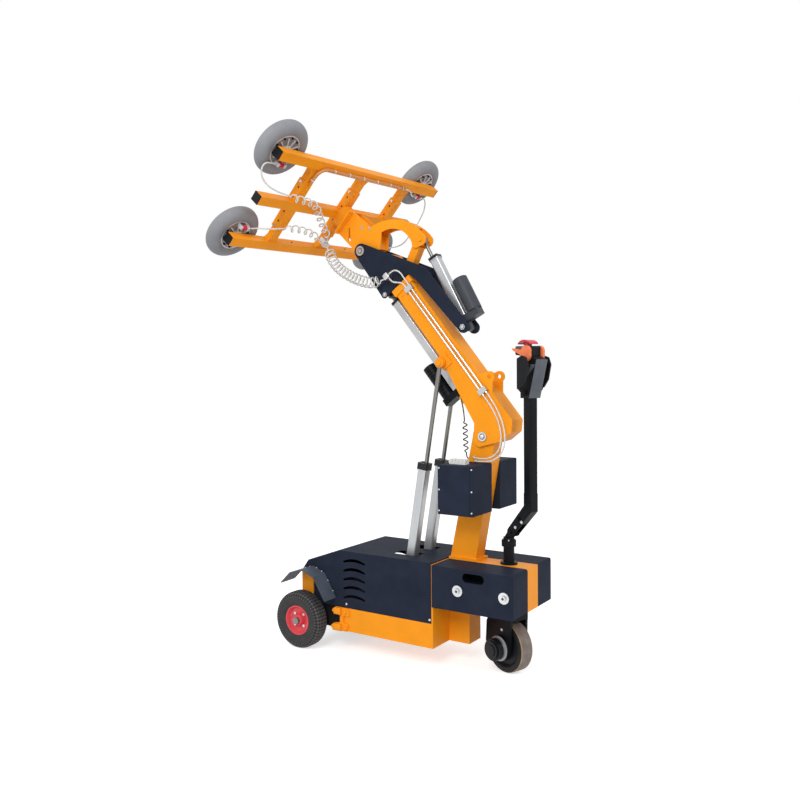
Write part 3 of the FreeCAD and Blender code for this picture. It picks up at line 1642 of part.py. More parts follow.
# Batteries behind the lift feet and vacuum unit ahead of them, under the hood
floor = tray_bottom + tray_plate
battery_rear = wall_x + bay_gap
battery_front = lift_foot_x - lift_foot_reach - bay_gap
battery_out = battery_gap / 2 + battery_width
battery_mid = 0.5 * (battery_gap / 2 + battery_out)
cells = []
for s in (1, -1):
    cell = box(
        battery_rear,
        battery_front,
        min(s * battery_gap / 2, s * battery_out),
        max(s * battery_gap / 2, s * battery_out),
        floor,
        floor + battery_height,
    )
    posts = []
    for x in (battery_rear + 3 * battery_post, battery_front - 6 * battery_post):
        posts.append(rod(V(x, s * battery_mid, floor + battery_height - 1), V(0, 0, 1), battery_post, 13))
    cells.append(fuse([cell] + posts))
nodes["batteries"] = Part.makeCompound(cells)
tank_x = tray_front_x - tray_plate - tank_front
tank_z = floor + tank_lift
tank = bar_y(tank_x, tank_z, tank_radius, -tank_half_length, tank_half_length)
tank_foot = 0.56 * tank_radius
legs = []
for y in (-tank_stand, tank_stand):
    legs.append(box(tank_x - tank_foot, tank_x + tank_foot, y - tray_plate, y + tray_plate, floor, tank_z))
pump = box(
    tank_x - pump_length / 2,
    tank_x + pump_length / 2,
    -pump_width / 2,
    pump_width / 2,
    tank_z + 0.9 * tank_radius,
    tank_z + tank_radius + pump_height,
)
nodes["vacuum_unit"] = fuse([tank, pump] + legs)

# Hoses and cords
hose_radius = 4.0
pipe_radius = 5.0
coil_radius = 27.0
coil_turns = 18
climb_radius = 18.0
climb_turns = 10
drop_radius = 17.0
drop_turns = 6
cord_radius = 3.0
cord_curl_radius = 11.0
cord_curl_turns = 6
tied_hose_radius = 9.0
hose_end_gap = 0.9
stub = 8.0


def corner_edges(name, points):
    edges = []
    here = points[0]
    tightest = 1e9
    for i in range(1, len(points) - 1):
        back = points[i - 1] - points[i]
        ahead = points[i + 1] - points[i]
        back_dir = V(back).normalize()
        ahead_dir = V(ahead).normalize()
        half_turn = (math.pi - back_dir.getAngle(ahead_dir)) / 2
        reach = 0.45 * min(back.Length, ahead.Length)
        bend = reach / math.tan(half_turn)
        tightest = min(tightest, bend)
        start = points[i] + back_dir * reach
        end = points[i] + ahead_dir * reach
        middle = V(back_dir + ahead_dir).normalize()
        top = points[i] + middle * (bend / math.cos(half_turn) - bend)
        edges.append(Part.makeLine(here, start))
        edges.append(Part.Arc(start, top, end).toShape())
        here = end
    edges.append(Part.makeLine(here, points[-1]))
    print(name, "tightest bend", round(tightest, 1))
    return edges


def biarc(p0, t0, p1, t1):
    chord = p1 - p0
    spread = 2 * (1 - t0.dot(t1))
    lean = chord.dot(t0 + t1)
    if spread < 1e-9:
        reach = chord.Length * chord.Length / (4 * chord.dot(t1))
    else:
        reach = (math.sqrt(lean * lean + spread * chord.dot(chord)) - lean) / spread
    joint = (p0 + t0 * reach + p1 - t1 * reach) * 0.5
    edges = []
    for a, knee, b in ((p0, p0 + t0 * reach, joint), (joint, p1 - t1 * reach, p1)):
        middle = (a + b) * 0.5
        away = knee - middle
        half_chord = (b - a).Length / 2
        if away.Length < 1e-4 * half_chord:
            edges.append(Part.makeLine(a, b))
        else:
            rise = half_chord * math.tan(0.5 * math.atan2(away.Length, half_chord))
            edges.append(Part.Arc(a, middle + V(away).normalize() * rise, b).toShape())
    return edges


# Curls around a line, with a straight stub and a plain lead at both ends
def curl_edges(name, line_points, heading_in, heading_out, curl_radius, turns, radius, lead_in, lead_out):
    line = Part.BSplineCurve()
    begin = line_points[0] + V(heading_in).normalize() * stub
    finish = line_points[-1] - V(heading_out).normalize() * stub
    through = [begin] + line_points[1:-1] + [finish]
    span = sum((b - a).Length for a, b in zip(through, through[1:])) / (len(through) - 1)
    first_pull = V(heading_in).normalize() * span
    last_pull = V(heading_out).normalize() * span
    line.interpolate(Points=through, InitialTangent=first_pull, FinalTangent=last_pull)
    length = line.length()
    steps = 40 * turns
    frames = []
    across = V(heading_in).cross(V(0, 1, 0)).normalize()
    for i in range(steps + 1):
        k = line.parameterAtDistance(length * i / steps)
        along = V(line.tangent(k)[0])
        across = (across - along * across.dot(along)).normalize()
        frames.append((line.value(k), along, V(across), along.cross(across)))
    track = []
    for i in range(steps + 1):
        at, along, across, third = frames[i]
        share = (length * i / steps - lead_in) / (length - lead_in - lead_out)
        share = min(max(share, 0), 1)
        ramp = min(1, share * turns, (1 - share) * turns)
        swell = curl_radius * ramp * ramp * (3 - 2 * ramp)
        turn = 2 * math.pi * turns * share
        track.append(at + across * (swell * math.cos(turn)) + third * (swell * math.sin(turn)))
    track[0] = begin
    track[-1] = finish
    first = int(round(steps * lead_in / length))
    last = steps - int(round(steps * lead_out / length))
    quarters = 4 * turns
    stations = [0]
    for j in range(quarters + 1):
        if j < 4 or j > quarters - 4 or j % 2 == 0:
            stations.append(first + int(round((last - first) * j / quarters)))
    stations.append(steps)
    headings = {0: V(heading_in).normalize(), steps: V(heading_out).normalize()}
    for i in stations[1:-1]:
        headings[i] = (track[i + 1] - track[i - 1]).normalize()
    edges = [Part.makeLine(line_points[0], begin)]
    for a, b in zip(stations, stations[1:]):
        edges += biarc(track[a], headings[a], track[b], headings[b])
    edges.append(Part.makeLine(finish, line_points[-1]))
    samples = []
    for e in edges:
        for q in range(4):
            samples.append(e.valueAt(e.FirstParameter + (e.LastParameter - e.FirstParameter) * q / 4))
    least = 1e9
    for i in range(len(samples)):
        run = 0.0
        for j in range(i + 1, min(i + 60, len(samples))):
            run += (samples[j] - samples[j - 1]).Length
            if run > 4 * math.pi * radius:
                least = min(least, (samples[j] - samples[i]).Length - 2 * radius)
    print(name, "least gap between curls", round(least, 2))
    return edges


def hose(name, edges, radius):
    wire = Part.Wire(edges)
    first = wire.Edges[0]
    heading = first.tangentAt(first.FirstParameter)
    ring = Part.Wire(Part.makeCircle(radius, first.valueAt(first.FirstParameter), heading))
    tube = wire.makePipeShell([ring], True, False)
    share = tube.Volume / (math.pi * radius * radius * wire.Length)
    print(name, "length", round(wire.Length), "volume share", round(share, 3))
    return tube


def boom_point(a, y, n):
    return boom_place.multVec(V(a, y, n))


# Pipes along the boom
pipe_y = h + 14.0
pipe_low = 138.0
pipe_high = 160.0
block_rear = 171.0
block_front = 845.0
block_half = 14.0
pipe_reach = 22.0
pipe_parts = []
for a in (block_rear, block_front):
    pipe_parts.append(box(a - block_half, a + block_half, h, pipe_y + 9, pipe_low - 13, pipe_high + 13))
pipe_length = block_front - block_rear + 2 * pipe_reach
for n in (pipe_low, pipe_high):
    pipe_parts.append(rod(V(block_rear - pipe_reach, pipe_y, n), V(1, 0, 0), pipe_radius, pipe_length))
nodes["boom_pipes"] = on_boom(fuse(pipe_parts))

# Leads from the boom pipes to the tee on the jib
tee_a = 975.0
tee_n = 96.0
tee_y = 96.0
tee_half = 16.0
tee = on_boom(
    box(tee_a - tee_half, tee_a + tee_half, jib_out, tee_y + 14, tee_n - tee_half, tee_n + tee_half)
)
lead_start = block_front + pipe_reach + face_gap
low_lead = [
    boom_point(lead_start, pipe_y, pipe_low),
    boom_point(lead_start + 26, pipe_y, pipe_low),
    boom_point(lead_start + 46, pipe_y + 12, 118),
    boom_point(tee_a - 44, tee_y, 101),
    boom_point(tee_a - tee_half - face_gap, tee_y, 101),
]
high_lead = [
    boom_point(lead_start, pipe_y, pipe_high),
    boom_point(lead_start + 36, pipe_y, pipe_high),
    boom_point(lead_start + 76, pipe_y + 14, 168),
    boom_point(tee_a, tee_y, 148),
    boom_point(tee_a, tee_y, tee_n + tee_half + face_gap),
]
leads = [
    hose("low lead", corner_edges("low lead", low_lead), hose_radius),
    hose("high lead", corner_edges("high lead", high_lead), hose_radius),
]
nodes["hose_leads"] = Part.makeCompound(leads)

# Coiled hose from the tee to the manifold on the vacuum frame
manifold_n = -64.0
manifold_back = manifold_n - 10
manifold_low = -190.0
manifold_high = -166.0
manifold_plate = 6.0
manifold_out = 64.0
strut_side = strut_width / 2
frame_up = frame_turn.multVec(V(0, 0, 1))
frame_side = frame_turn.multVec(V(0, 1, 0))
frame_ahead = frame_turn.multVec(V(1, 0, 0))
boom_up = boom_place.Rotation.multVec(V(0, 0, 1))
coil_line = [
    boom_point(tee_a, tee_y, tee_n - tee_half),
    V(752, 106, 1938),
    V(890, 90, 1985),
    V(1020, 66, 2062),
    frame_point(manifold_back - face_gap, 50, 0.5 * (manifold_low + manifold_high)),
]
coil_edges = curl_edges(
    "coil", coil_line, -boom_up, frame_ahead, coil_radius, coil_turns, hose_radius, 16.0, 16.0
)
nodes["hose_coil"] = Part.makeCompound([tee, hose("coil", coil_edges, hose_radius)])

# Manifold and the hoses that ride on the vacuum frame
bracket = box(manifold_back, 0, strut_side, strut_side + manifold_plate, manifold_low, manifold_high)
block = box(manifold_back, manifold_n + 10, strut_side, manifold_out, manifold_low, manifold_high)
frame_parts = [on_frame(fuse([bracket, block]))]
valve_row = beam_spacing - valve_v
valve_near = cup_u - valve_length / 2 - hose_end_gap
valve_far = cup_u + valve_length / 2 + hose_end_gap
climb_line = [
    frame_point(manifold_n, 44, manifold_high + face_gap),
    frame_point(-62, 72, -118),
    frame_point(-58, 156, -62),
    frame_point(-56, 228, -4),
    frame_point(-55, 296, 52),
    frame_point(-55, 390, 62),
    frame_point(-50, 470, 66),
    frame_point(-42, 530, 70),
]
climb_out = climb_line[-1] - climb_line[-2]
climb_edges = curl_edges(
    "climb", climb_line, frame_up, climb_out, climb_radius, climb_turns, hose_radius, 10.0, 14.0
)
climb_rest = [
    climb_line[-1],
    frame_point(-34, cup_u - 10, 74),
    frame_point(-22, cup_u + 48, 86),
    frame_point(-4, cup_u + 94, 112),
    frame_point(12, cup_u + 114, 150),
    frame_point(22, cup_u + 102, 184),
    frame_point(valve_n, cup_u + 68, valve_row),
    frame_point(valve_n, valve_far, valve_row),
]
climb_edges += corner_edges("climb end", climb_rest)
frame_parts.append(hose("climb", climb_edges, hose_radius))
drop_line = [
    frame_point(manifold_n, manifold_out + face_gap, 0.5 * (manifold_low + manifold_high)),
    frame_point(-63, 112, -160),
    frame_point(-60, 180, -124),
    frame_point(-58, 300, -106),
    frame_point(-58, 400, -112),
    frame_point(-52, 452, -126),
]
drop_out = drop_line[-1] - drop_line[-2]
drop_edges = curl_edges(
    "drop", drop_line, frame_side, drop_out, drop_radius, drop_turns, hose_radius, 40.0, 20.0
)
drop_rest = [
    drop_line[-1],
    frame_point(-42, 488, -140),
    frame_point(-14, cup_u - 90, -162),
    frame_point(12, cup_u - 74, -182),
    frame_point(valve_n, cup_u - 56, -valve_row),
    frame_point(valve_n, valve_near, -valve_row),
]
drop_edges += corner_edges("drop end", drop_rest)
frame_parts.append(hose("drop", drop_edges, hose_radius))
tied_n = -beam_half - tied_hose_radius - face_gap
tied_v = beam_spacing - 8
tied_from = arm_spacing - sleeve_width / 2 - 14
tied_down = sleeve_end + 6
tied_diagonal = (tied_v - tied_down) / (1 + math.sqrt(2))
tied_line = [
    frame_point(tied_n, -tied_from, tied_v),
    frame_point(tied_n, arm_spacing - tied_diagonal, tied_v),
    frame_point(tied_n, arm_spacing, tied_v - tied_diagonal),
    frame_point(tied_n, arm_spacing, tied_down),
]
frame_parts.append(hose("tied hose", corner_edges("tied hose", tied_line), tied_hose_radius))
across_line = [
    frame_point(tied_n, -tied_from - face_gap, tied_v),
    frame_point(tied_n, -tied_from - 44, tied_v - 3),
    frame_point(-32, -442, tied_v - 16),
    frame_point(-14, -482, valve_row + 18),
    frame_point(12, -cup_u + 80, valve_row + 3),
    frame_point(valve_n, -cup_u + 54, valve_row),
    frame_point(valve_n, -valve_near, valve_row),
]
frame_parts.append(hose("across", corner_edges("across", across_line), hose_radius))
hang_line = [
    frame_point(valve_n, -valve_far, valve_row),
    frame_point(valve_n, -cup_u - 72, valve_row),
    frame_point(18, -cup_u - 106, valve_row - 20),
    frame_point(2, -cup_u - 122, 130),
    frame_point(-22, -cup_u - 102, 86),
    frame_point(-40, -cup_u - 84, 34),
    frame_point(-44, -cup_u - 78, -24),
    frame_point(-36, -cup_u - 90, -80),
    frame_point(-16, -cup_u - 116, -128),
    frame_point(8, -cup_u - 114, -170),
    frame_point(22, -cup_u - 90, -valve_row),
    frame_point(valve_n, -cup_u - 62, -valve_row),
    frame_point(valve_n, -valve_far, -valve_row),
]
frame_parts.append(hose("hang", corner_edges("hang", hang_line), hose_radius))
nodes["frame_hoses"] = Part.makeCompound(frame_parts)

# Hose pair from the boom pipes down to the mast
pair_end = mast_half_width + face_gap
pair_start = block_rear - pipe_reach - face_gap
near_hose = [
    boom_point(pair_start, pipe_y, pipe_low),
    boom_point(pair_start - 48, pipe_y, pipe_low),
    V(28, 82, 1266),
    V(2, 86, 1206),
    V(-6, 88, 1144),
    V(8, 90, 1088),
    V(52, 90, 1052),
    V(104, 90, 1046),
    V(134, 88, 1048),
    V(152, 78, 1050),
    V(161, 62, 1052),
    V(161, pair_end, 1052),
]
far_hose = [
    boom_point(pair_start, pipe_y, pipe_high),
    boom_point(pair_start - 55, pipe_y, pipe_high),
    V(6, 86, 1268),
    V(-22, 92, 1204),
    V(-30, 96, 1138),
    V(-14, 100, 1076),
    V(36, 102, 1040),
    V(88, 99, 1034),
    V(122, 95, 1033),
    V(141, 84, 1034),
    V(150, 66, 1035),
    V(150, pair_end, 1035),
]
pair = [
    hose("near hose", corner_edges("near hose", near_hose), hose_radius),
    hose("far hose", corner_edges("far hose", far_hose), hose_radius),
]
nodes["mast_hoses"] = Part.makeCompound(pair)

# Curly cord from the mast to the boom
cord_z = 1040.0
mast_rise = (cord_z - foot_z) / (boom_pivot_z - foot_z)
cord_x = mast_foot_front_x + (boom_pivot_x + mast_head_radius - mast_foot_front_x) * mast_rise
cord_top = boom_point(246, 42, boom_under - face_gap)
cord_line = [
    V(cord_x + 1, 36, cord_z),
    V(215, 38, 1066),
    V(217, 40, 1130),
    V(219, 41, 1200),
    V(228, 42, 1290),
    cord_top - boom_up * 34 + V(2, 0, -12),
    cord_top,
]
cord_edges = curl_edges(
    "cord", cord_line, V(1, 0, 0), boom_up, cord_curl_radius, cord_curl_turns, cord_radius, 16.0, 150.0
)
nodes["curly_cord"] = hose("cord", cord_edges, cord_radius)

# Origin at floor level under the middle of the whole machine
whole = FreeCAD.BoundBox()
for shape in nodes.values():
    whole.add(shape.optimalBoundingBox(False, False))
shift = V(-whole.Center.x, -whole.Center.y, -whole.ZMin)
print("shift", shift)
print("lift share", lift_share, "tilt share", tilt_share)
os.makedirs("parts", exist_ok=True)
for name, shape in nodes.items():
    shape.translated(shift).exportStep("parts/%s.step" % name)
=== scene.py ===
import json
import math

import bmesh
import bpy
from mathutils import Matrix, Vector


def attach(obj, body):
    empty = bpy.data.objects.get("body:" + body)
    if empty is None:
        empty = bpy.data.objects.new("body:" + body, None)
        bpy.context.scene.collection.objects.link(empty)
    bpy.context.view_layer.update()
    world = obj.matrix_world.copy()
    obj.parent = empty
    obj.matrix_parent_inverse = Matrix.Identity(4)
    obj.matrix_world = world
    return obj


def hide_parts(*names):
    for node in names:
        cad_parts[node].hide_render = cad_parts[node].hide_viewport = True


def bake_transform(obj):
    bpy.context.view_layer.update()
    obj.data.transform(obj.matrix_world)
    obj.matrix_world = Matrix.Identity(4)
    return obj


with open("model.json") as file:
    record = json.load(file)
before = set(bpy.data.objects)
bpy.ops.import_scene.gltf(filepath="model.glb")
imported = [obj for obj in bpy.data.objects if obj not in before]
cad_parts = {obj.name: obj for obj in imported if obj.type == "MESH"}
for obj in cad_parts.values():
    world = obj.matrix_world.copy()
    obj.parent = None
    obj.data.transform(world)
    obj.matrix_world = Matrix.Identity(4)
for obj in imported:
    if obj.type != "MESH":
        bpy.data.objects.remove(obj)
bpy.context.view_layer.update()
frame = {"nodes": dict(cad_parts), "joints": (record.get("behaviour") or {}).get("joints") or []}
nodes = frame["nodes"]
joints = {j["name"]: j for j in frame["joints"]}
scene = bpy.context.scene

MM = 0.001
AHEAD = Vector((1, 0, 0))
ACROSS = Vector((0, 1, 0))
UP = Vector((0, 0, 1))


def joint_at(name):
    return Vector(joints[name]["pos_m"])


def joint_axis(name):
    return Vector(joints[name]["axis"])


# Frames of the machine, taken from its joints
boom_pivot = joint_at("boom_lift")
boom_ahead = joint_axis("boom_extend")
boom_up = Vector((-boom_ahead.z, 0, boom_ahead.x))
frame_centre = joint_at("frame_spin")
frame_ahead = joint_axis("frame_spin")
frame_side = joint_axis("valve_upper_left_slide")
frame_up = frame_ahead.cross(frame_side)
steer_side = joint_axis("drive_spin")
steer_ahead = Vector((steer_side.y, -steer_side.x, 0))
steer_foot = joint_at("steer")
steer_foot.z = 0


# Points in millimetres: along the boom, in the vacuum frame, on the chassis, on the steered fork
def boom_point(a, y, n):
    return boom_pivot + (boom_ahead * a + ACROSS * y + boom_up * n) * MM


def frame_point(n, u, v):
    return frame_centre + (frame_ahead * n + frame_side * u + frame_up * v) * MM


def ground_point(x, y, z):
    return steer_foot + Vector((x, y, z)) * MM


def steer_point(x, y, z):
    return steer_foot + (steer_ahead * x + steer_side * y + UP * z) * MM


# Camera at the photograph's angle
CAMERA_AT = (-1817.2, 3735.8, 1494.9)
CAMERA_YAW = 0.58
CAMERA_PITCH = -0.013
CAMERA_ROLL = -0.006
LENS = 37.84
SENSOR_WIDTH = 36
SHIFT_X = -0.0007
SHIFT_Y = -0.0269


def add_camera():
    data = bpy.data.cameras.new("photo_camera")
    data.lens = LENS
    data.sensor_width = SENSOR_WIDTH
    data.shift_x = SHIFT_X
    data.shift_y = SHIFT_Y
    look = Vector((
        math.sin(CAMERA_YAW) * math.cos(CAMERA_PITCH),
        -math.cos(CAMERA_YAW) * math.cos(CAMERA_PITCH),
        math.sin(CAMERA_PITCH),
    ))
    right = Vector((-math.cos(CAMERA_YAW), -math.sin(CAMERA_YAW), 0))
    up = right.cross(look)
    across = right * math.cos(CAMERA_ROLL) + up * math.sin(CAMERA_ROLL)
    above = up * math.cos(CAMERA_ROLL) - right * math.sin(CAMERA_ROLL)
    turn = Matrix((across, above, -look)).transposed().to_4x4()
    camera = bpy.data.objects.new("photo_camera", data)
    camera.matrix_world = Matrix.Translation(ground_point(*CAMERA_AT)) @ turn
    scene.collection.objects.link(camera)
    scene.camera = camera


# Materials
def new_material(name):
    made = bpy.data.materials.new(name)
    made.use_nodes = True
    tree = made.node_tree
    shader = tree.nodes["Principled BSDF"]
    return made, tree, shader


def noise(tree, scale, detail=4.0, stretch=None):
    place = tree.nodes.new("ShaderNodeTexCoord")
    texture = tree.nodes.new("ShaderNodeTexNoise")
    texture.inputs["Scale"].default_value = scale
    texture.inputs["Detail"].default_value = detail
    if stretch:
        mapping = tree.nodes.new("ShaderNodeMapping")
        mapping.inputs["Scale"].default_value = stretch
        tree.links.new(place.outputs["Object"], mapping.inputs["Vector"])
        tree.links.new(mapping.outputs["Vector"], texture.inputs["Vector"])
    else:
        tree.links.new(place.outputs["Object"], texture.inputs["Vector"])
    return texture.outputs["Fac"]


def ramp(tree, factor, low, high, low_at=0.3, high_at=0.7):
    spread = tree.nodes.new("ShaderNodeValToRGB")
    spread.color_ramp.elements[0].position = low_at
    spread.color_ramp.elements[0].color = (*low, 1)
    spread.color_ramp.elements[1].position = high_at
    spread.color_ramp.elements[1].color = (*high, 1)
    tree.links.new(factor, spread.inputs["Fac"])
    return spread.outputs["Color"]


def spread_value(tree, factor, low, high, start=0.0, end=1.0):
    span = tree.nodes.new("ShaderNodeMapRange")
    span.inputs["From Min"].default_value = start
    span.inputs["From Max"].default_value = end
    span.inputs["To Min"].default_value = low
    span.inputs["To Max"].default_value = high
    tree.links.new(factor, span.inputs["Value"])
    return span.outputs["Result"]


def bump(tree, shader, height, strength, distance):
    relief = tree.nodes.new("ShaderNodeBump")
    relief.inputs["Strength"].default_value = strength
    relief.inputs["Distance"].default_value = distance
    tree.links.new(height, relief.inputs["Height"])
    tree.links.new(relief.outputs["Normal"], shader.inputs["Normal"])


def tinted(colour, share):
    return tuple(min(1.0, c * share) for c in colour)


def math_node(tree, operation, first, second):
    made = tree.nodes.new("ShaderNodeMath")
    made.operation = operation
    for socket, value in zip(made.inputs, (first, second)):
        if isinstance(value, (int, float)):
            socket.default_value = value
        else:
            tree.links.new(value, socket)
    return made.outputs["Value"]


def vector_node(tree, operation, first, second=None):
    made = tree.nodes.new("ShaderNodeVectorMath")
    made.operation = operation
    tree.links.new(first, made.inputs[0])
    if second is not None:
        made.inputs[1].default_value = second
    return made.outputs


def coordinate(tree):
    return tree.nodes.new("ShaderNodeTexCoord").outputs["Object"]


# Masks of a material's zones: 1 inside and 0 outside, in the object's own coordinates
def beyond(axis, at):
    def mask(tree):
        reach = vector_node(tree, "DOT_PRODUCT", coordinate(tree), axis)["Value"]
        return math_node(tree, "GREATER_THAN", reach, at.dot(axis))
    return mask


def from_axis(tree, centre, axis):
    off = vector_node(tree, "SUBTRACT", coordinate(tree), centre)["Vector"]
    swept = vector_node(tree, "CROSS_PRODUCT", off, axis)["Vector"]
    return vector_node(tree, "LENGTH", swept)["Value"]


def within(centre, axis, radius):
    def mask(tree):
        return math_node(tree, "LESS_THAN", from_axis(tree, centre, axis), radius)
    return mask


def every(*masks):
    def mask(tree):
        made = masks[0](tree)
        for other in masks[1:]:
            made = math_node(tree, "MULTIPLY", made, other(tree))
        return made
    return mask


def some(*masks):
    def mask(tree):
        made = masks[0](tree)
        for other in masks[1:]:
            made = math_node(tree, "MAXIMUM", made, other(tree))
        return made
    return mask


def outside(inner):
    def mask(tree):
        return math_node(tree, "SUBTRACT", 1.0, inner(tree))
    return mask


def patchy(tree, colour, vary, patch, stretch=None):
    cloud = noise(tree, patch, 5.0, stretch)
    return ramp(tree, cloud, tinted(colour, 1 - vary), tinted(colour, 1 + 0.5 * vary))


def painted(tree, shader, metallic, colours, zones, vary, patch):
    shine = metallic
    for mask, tint, metal in zones:
        factor = mask(tree)
        mix = tree.nodes.new("ShaderNodeMixRGB")
        tree.links.new(factor, mix.inputs["Fac"])
        tree.links.new(colours, mix.inputs["Color1"])
        tree.links.new(patchy(tree, tint, vary, patch), mix.inputs["Color2"])
        colours = mix.outputs["Color"]
        shine = math_node(tree, "ADD", math_node(tree, "MULTIPLY", factor, metal - metallic), shine)
    tree.links.new(colours, shader.inputs["Base Color"])
    if zones:
        tree.links.new(shine, shader.inputs["Metallic"])
    else:
        shader.inputs["Metallic"].default_value = metallic


ROUGHNESS_SPREAD = 0.08
GRAIN_STRENGTH = 0.25
COAT_ROUGHNESS = 0.25


def surface(name, colour, roughness, metallic=0.0, vary=0.12, patch=9.0, grain=420.0, depth=0.0003,
            coat=0.0, specular=0.3, stretch=None, zones=()):
    made, tree, shader = new_material(name)
    painted(tree, shader, metallic, patchy(tree, colour, vary, patch, stretch), zones, vary, patch)
    fine = noise(tree, grain, 2.0, stretch)
    rough = spread_value(tree, fine, roughness - ROUGHNESS_SPREAD, roughness + ROUGHNESS_SPREAD)
    tree.links.new(rough, shader.inputs["Roughness"])
    shader.inputs["Specular IOR Level"].default_value = specular
    shader.inputs["Coat Weight"].default_value = coat
    shader.inputs["Coat Roughness"].default_value = COAT_ROUGHNESS
    bump(tree, shader, fine, GRAIN_STRENGTH, depth)
    return made


# Tread colours: painted shade in the grooves, and block tops lighter with dust and painted highlight
TYRE_GROOVE_SHADE = (0.006, 0.006, 0.007)
TYRE_DUST_AND_HIGHLIGHT = (0.075, 0.073, 0.073)
TYRE_BLOCKS = 26.0
TYRE_SLANT = 260.0
TYRE_SOFTNESS = 0.25
TYRE_TREAD_FROM = 0.122
TYRE_TREAD_DEPTH = 0.004


def rubber_tyre(name, colour, centre):
    made, tree, shader = new_material(name)
    dust = noise(tree, 30.0, 6.0)
    colours = ramp(tree, dust, tinted(colour, 0.8), tinted(colour, 1.5))
    off = vector_node(tree, "SUBTRACT", coordinate(tree), centre)["Vector"]
    apart = tree.nodes.new("ShaderNodeSeparateXYZ")
    tree.links.new(off, apart.inputs["Vector"])
    turn = math_node(tree, "ARCTAN2", apart.outputs["Z"], apart.outputs["X"])
    around = math_node(tree, "MULTIPLY", turn, TYRE_BLOCKS)
    sideways = math_node(tree, "MULTIPLY", apart.outputs["Y"], TYRE_SLANT)
    one = math_node(tree, "SINE", math_node(tree, "ADD", around, sideways), 0.0)
    two = math_node(tree, "SINE", math_node(tree, "SUBTRACT", around, sideways), 0.0)
    crossed = math_node(tree, "MULTIPLY", one, two)
    blocks = spread_value(tree, crossed, 0.0, 1.0, -TYRE_SOFTNESS, TYRE_SOFTNESS)
    shoulder = math_node(tree, "GREATER_THAN", from_axis(tree, centre, ACROSS), TYRE_TREAD_FROM)
    relief = math_node(tree, "MULTIPLY", blocks, shoulder)
    # The tread blocks run from the grooves' painted shade up to the tops' dust and painted highlight
    mix = tree.nodes.new("ShaderNodeMixRGB")
    tree.links.new(shoulder, mix.inputs["Fac"])
    tree.links.new(colours, mix.inputs["Color1"])
    tree.links.new(ramp(tree, blocks, TYRE_GROOVE_SHADE, TYRE_DUST_AND_HIGHLIGHT), mix.inputs["Color2"])
    tree.links.new(mix.outputs["Color"], shader.inputs["Base Color"])
    shader.inputs["Roughness"].default_value = 0.78
    grit = math_node(tree, "MULTIPLY", noise(tree, 260.0, 3.0), 0.1)
    bump(tree, shader, math_node(tree, "ADD", relief, grit), 0.8, TYRE_TREAD_DEPTH)
    return made


def hose_plastic(name, colour, clear=0.25):
    made, tree, shader = new_material(name)
    cloud = noise(tree, 60.0, 3.0)
    colours = ramp(tree, cloud, tinted(colour, 0.88), colour)
    tree.links.new(colours, shader.inputs["Base Color"])
    shader.inputs["Roughness"].default_value = 0.22
    shader.inputs["Transmission Weight"].default_value = clear
    shader.inputs["IOR"].default_value = 1.45
    shader.inputs["Subsurface Weight"].default_value = 0.15
    shader.inputs["Subsurface Scale"].default_value = 0.004
    return made


# Palette
ORANGE = (0.93, 0.325, 0.012)
NAVY = (0.021, 0.027, 0.045)
# The fenders' navy is lighter than the hood's: their own glossier tone with painted sheen added
FENDER_WITH_SHEEN = (0.078, 0.096, 0.125)
SHADE = (0.02, 0.018, 0.018)
STEEL = (0.62, 0.63, 0.64)
ALLOY = (0.50, 0.515, 0.53)
CHROME = (0.60, 0.60, 0.61)
ROD = (0.21, 0.21, 0.20)
HUB = (0.66, 0.67, 0.69)
HUB_PLATE = (0.20, 0.205, 0.22)
BLACK = (0.006, 0.007, 0.009)
CHARCOAL = (0.045, 0.05, 0.06)
STEM_GREY = (0.11, 0.125, 0.145)
RED = (0.60, 0.02, 0.045)
BUTTON_RED = (0.62, 0.02, 0.05)
RIM_RED = (0.74, 0.075, 0.095)
CUP_GREY = (0.255, 0.26, 0.28)
TYRE = (0.02, 0.02, 0.021)
TREAD = (0.20, 0.165, 0.145)
TREAD_EDGE = (0.40, 0.24, 0.12)
CORD = (0.012, 0.012, 0.013)
WHITE = (0.78, 0.78, 0.76)
MILKY = (0.82, 0.82, 0.79)
PADDLE = (0.86, 0.21, 0.08)
AMBER = (0.80, 0.36, 0.11)

# Places on the solids that more than one piece or zone uses, in millimetres
CUP_U = 600
CUP_V = 257
TAIL_PIN_X, TAIL_PIN_Z = 217, 1695
EXT_PIN_X, EXT_PIN_Z = 681.6, 1880

# Black caps of the cylinder tubes, and the painted eye of the lift rods
LIFT_CAP_FROM = 735.2
TILT_CAP_FROM = 405.2
EXT_CAP_FROM = 866.2
LIFT_EYE_RADIUS = 22.5
lift_foot = joint_at("lift_tube_left_swing")
lift_eye = joint_at("lift_rod_left_swing")
lift_axis = (lift_eye - lift_foot).normalized()
lift_cap = beyond(lift_axis, lift_foot + lift_axis * (LIFT_CAP_FROM * MM))
lift_eye_paint = beyond(lift_axis, lift_eye - lift_axis * (LIFT_EYE_RADIUS * MM))
tilt_foot = joint_at("tilt_tube_swing")
tilt_axis = (joint_at("tilt_rod_swing") - tilt_foot).normalized()
tilt_cap = beyond(tilt_axis, tilt_foot + tilt_axis * (TILT_CAP_FROM * MM))
ext_cap = beyond(boom_ahead, boom_point(EXT_CAP_FROM, 0, 0))

# Drive wheel's rubber and its edges, and the bright ring of the motor
DRIVE_RUBBER_FROM = 121.5
DRIVE_FLANK_FROM = 33
MOTOR_RING_FROM = 73.5
MOTOR_RING_TO = 86.5
drive_hub = joint_at("drive_spin")


def drive_side(y):
    return drive_hub + steer_side * (y * MM)


drive_rubber = outside(within(drive_hub, steer_side, DRIVE_RUBBER_FROM * MM))
drive_flank = some(
    beyond(steer_side, drive_side(DRIVE_FLANK_FROM)),
    beyond(-steer_side, drive_side(-DRIVE_FLANK_FROM)),
)
drive_edge = every(drive_rubber, drive_flank)
motor_ring = every(
    beyond(steer_side, drive_side(MOTOR_RING_FROM)),
    beyond(-steer_side, drive_side(MOTOR_RING_TO)),
)

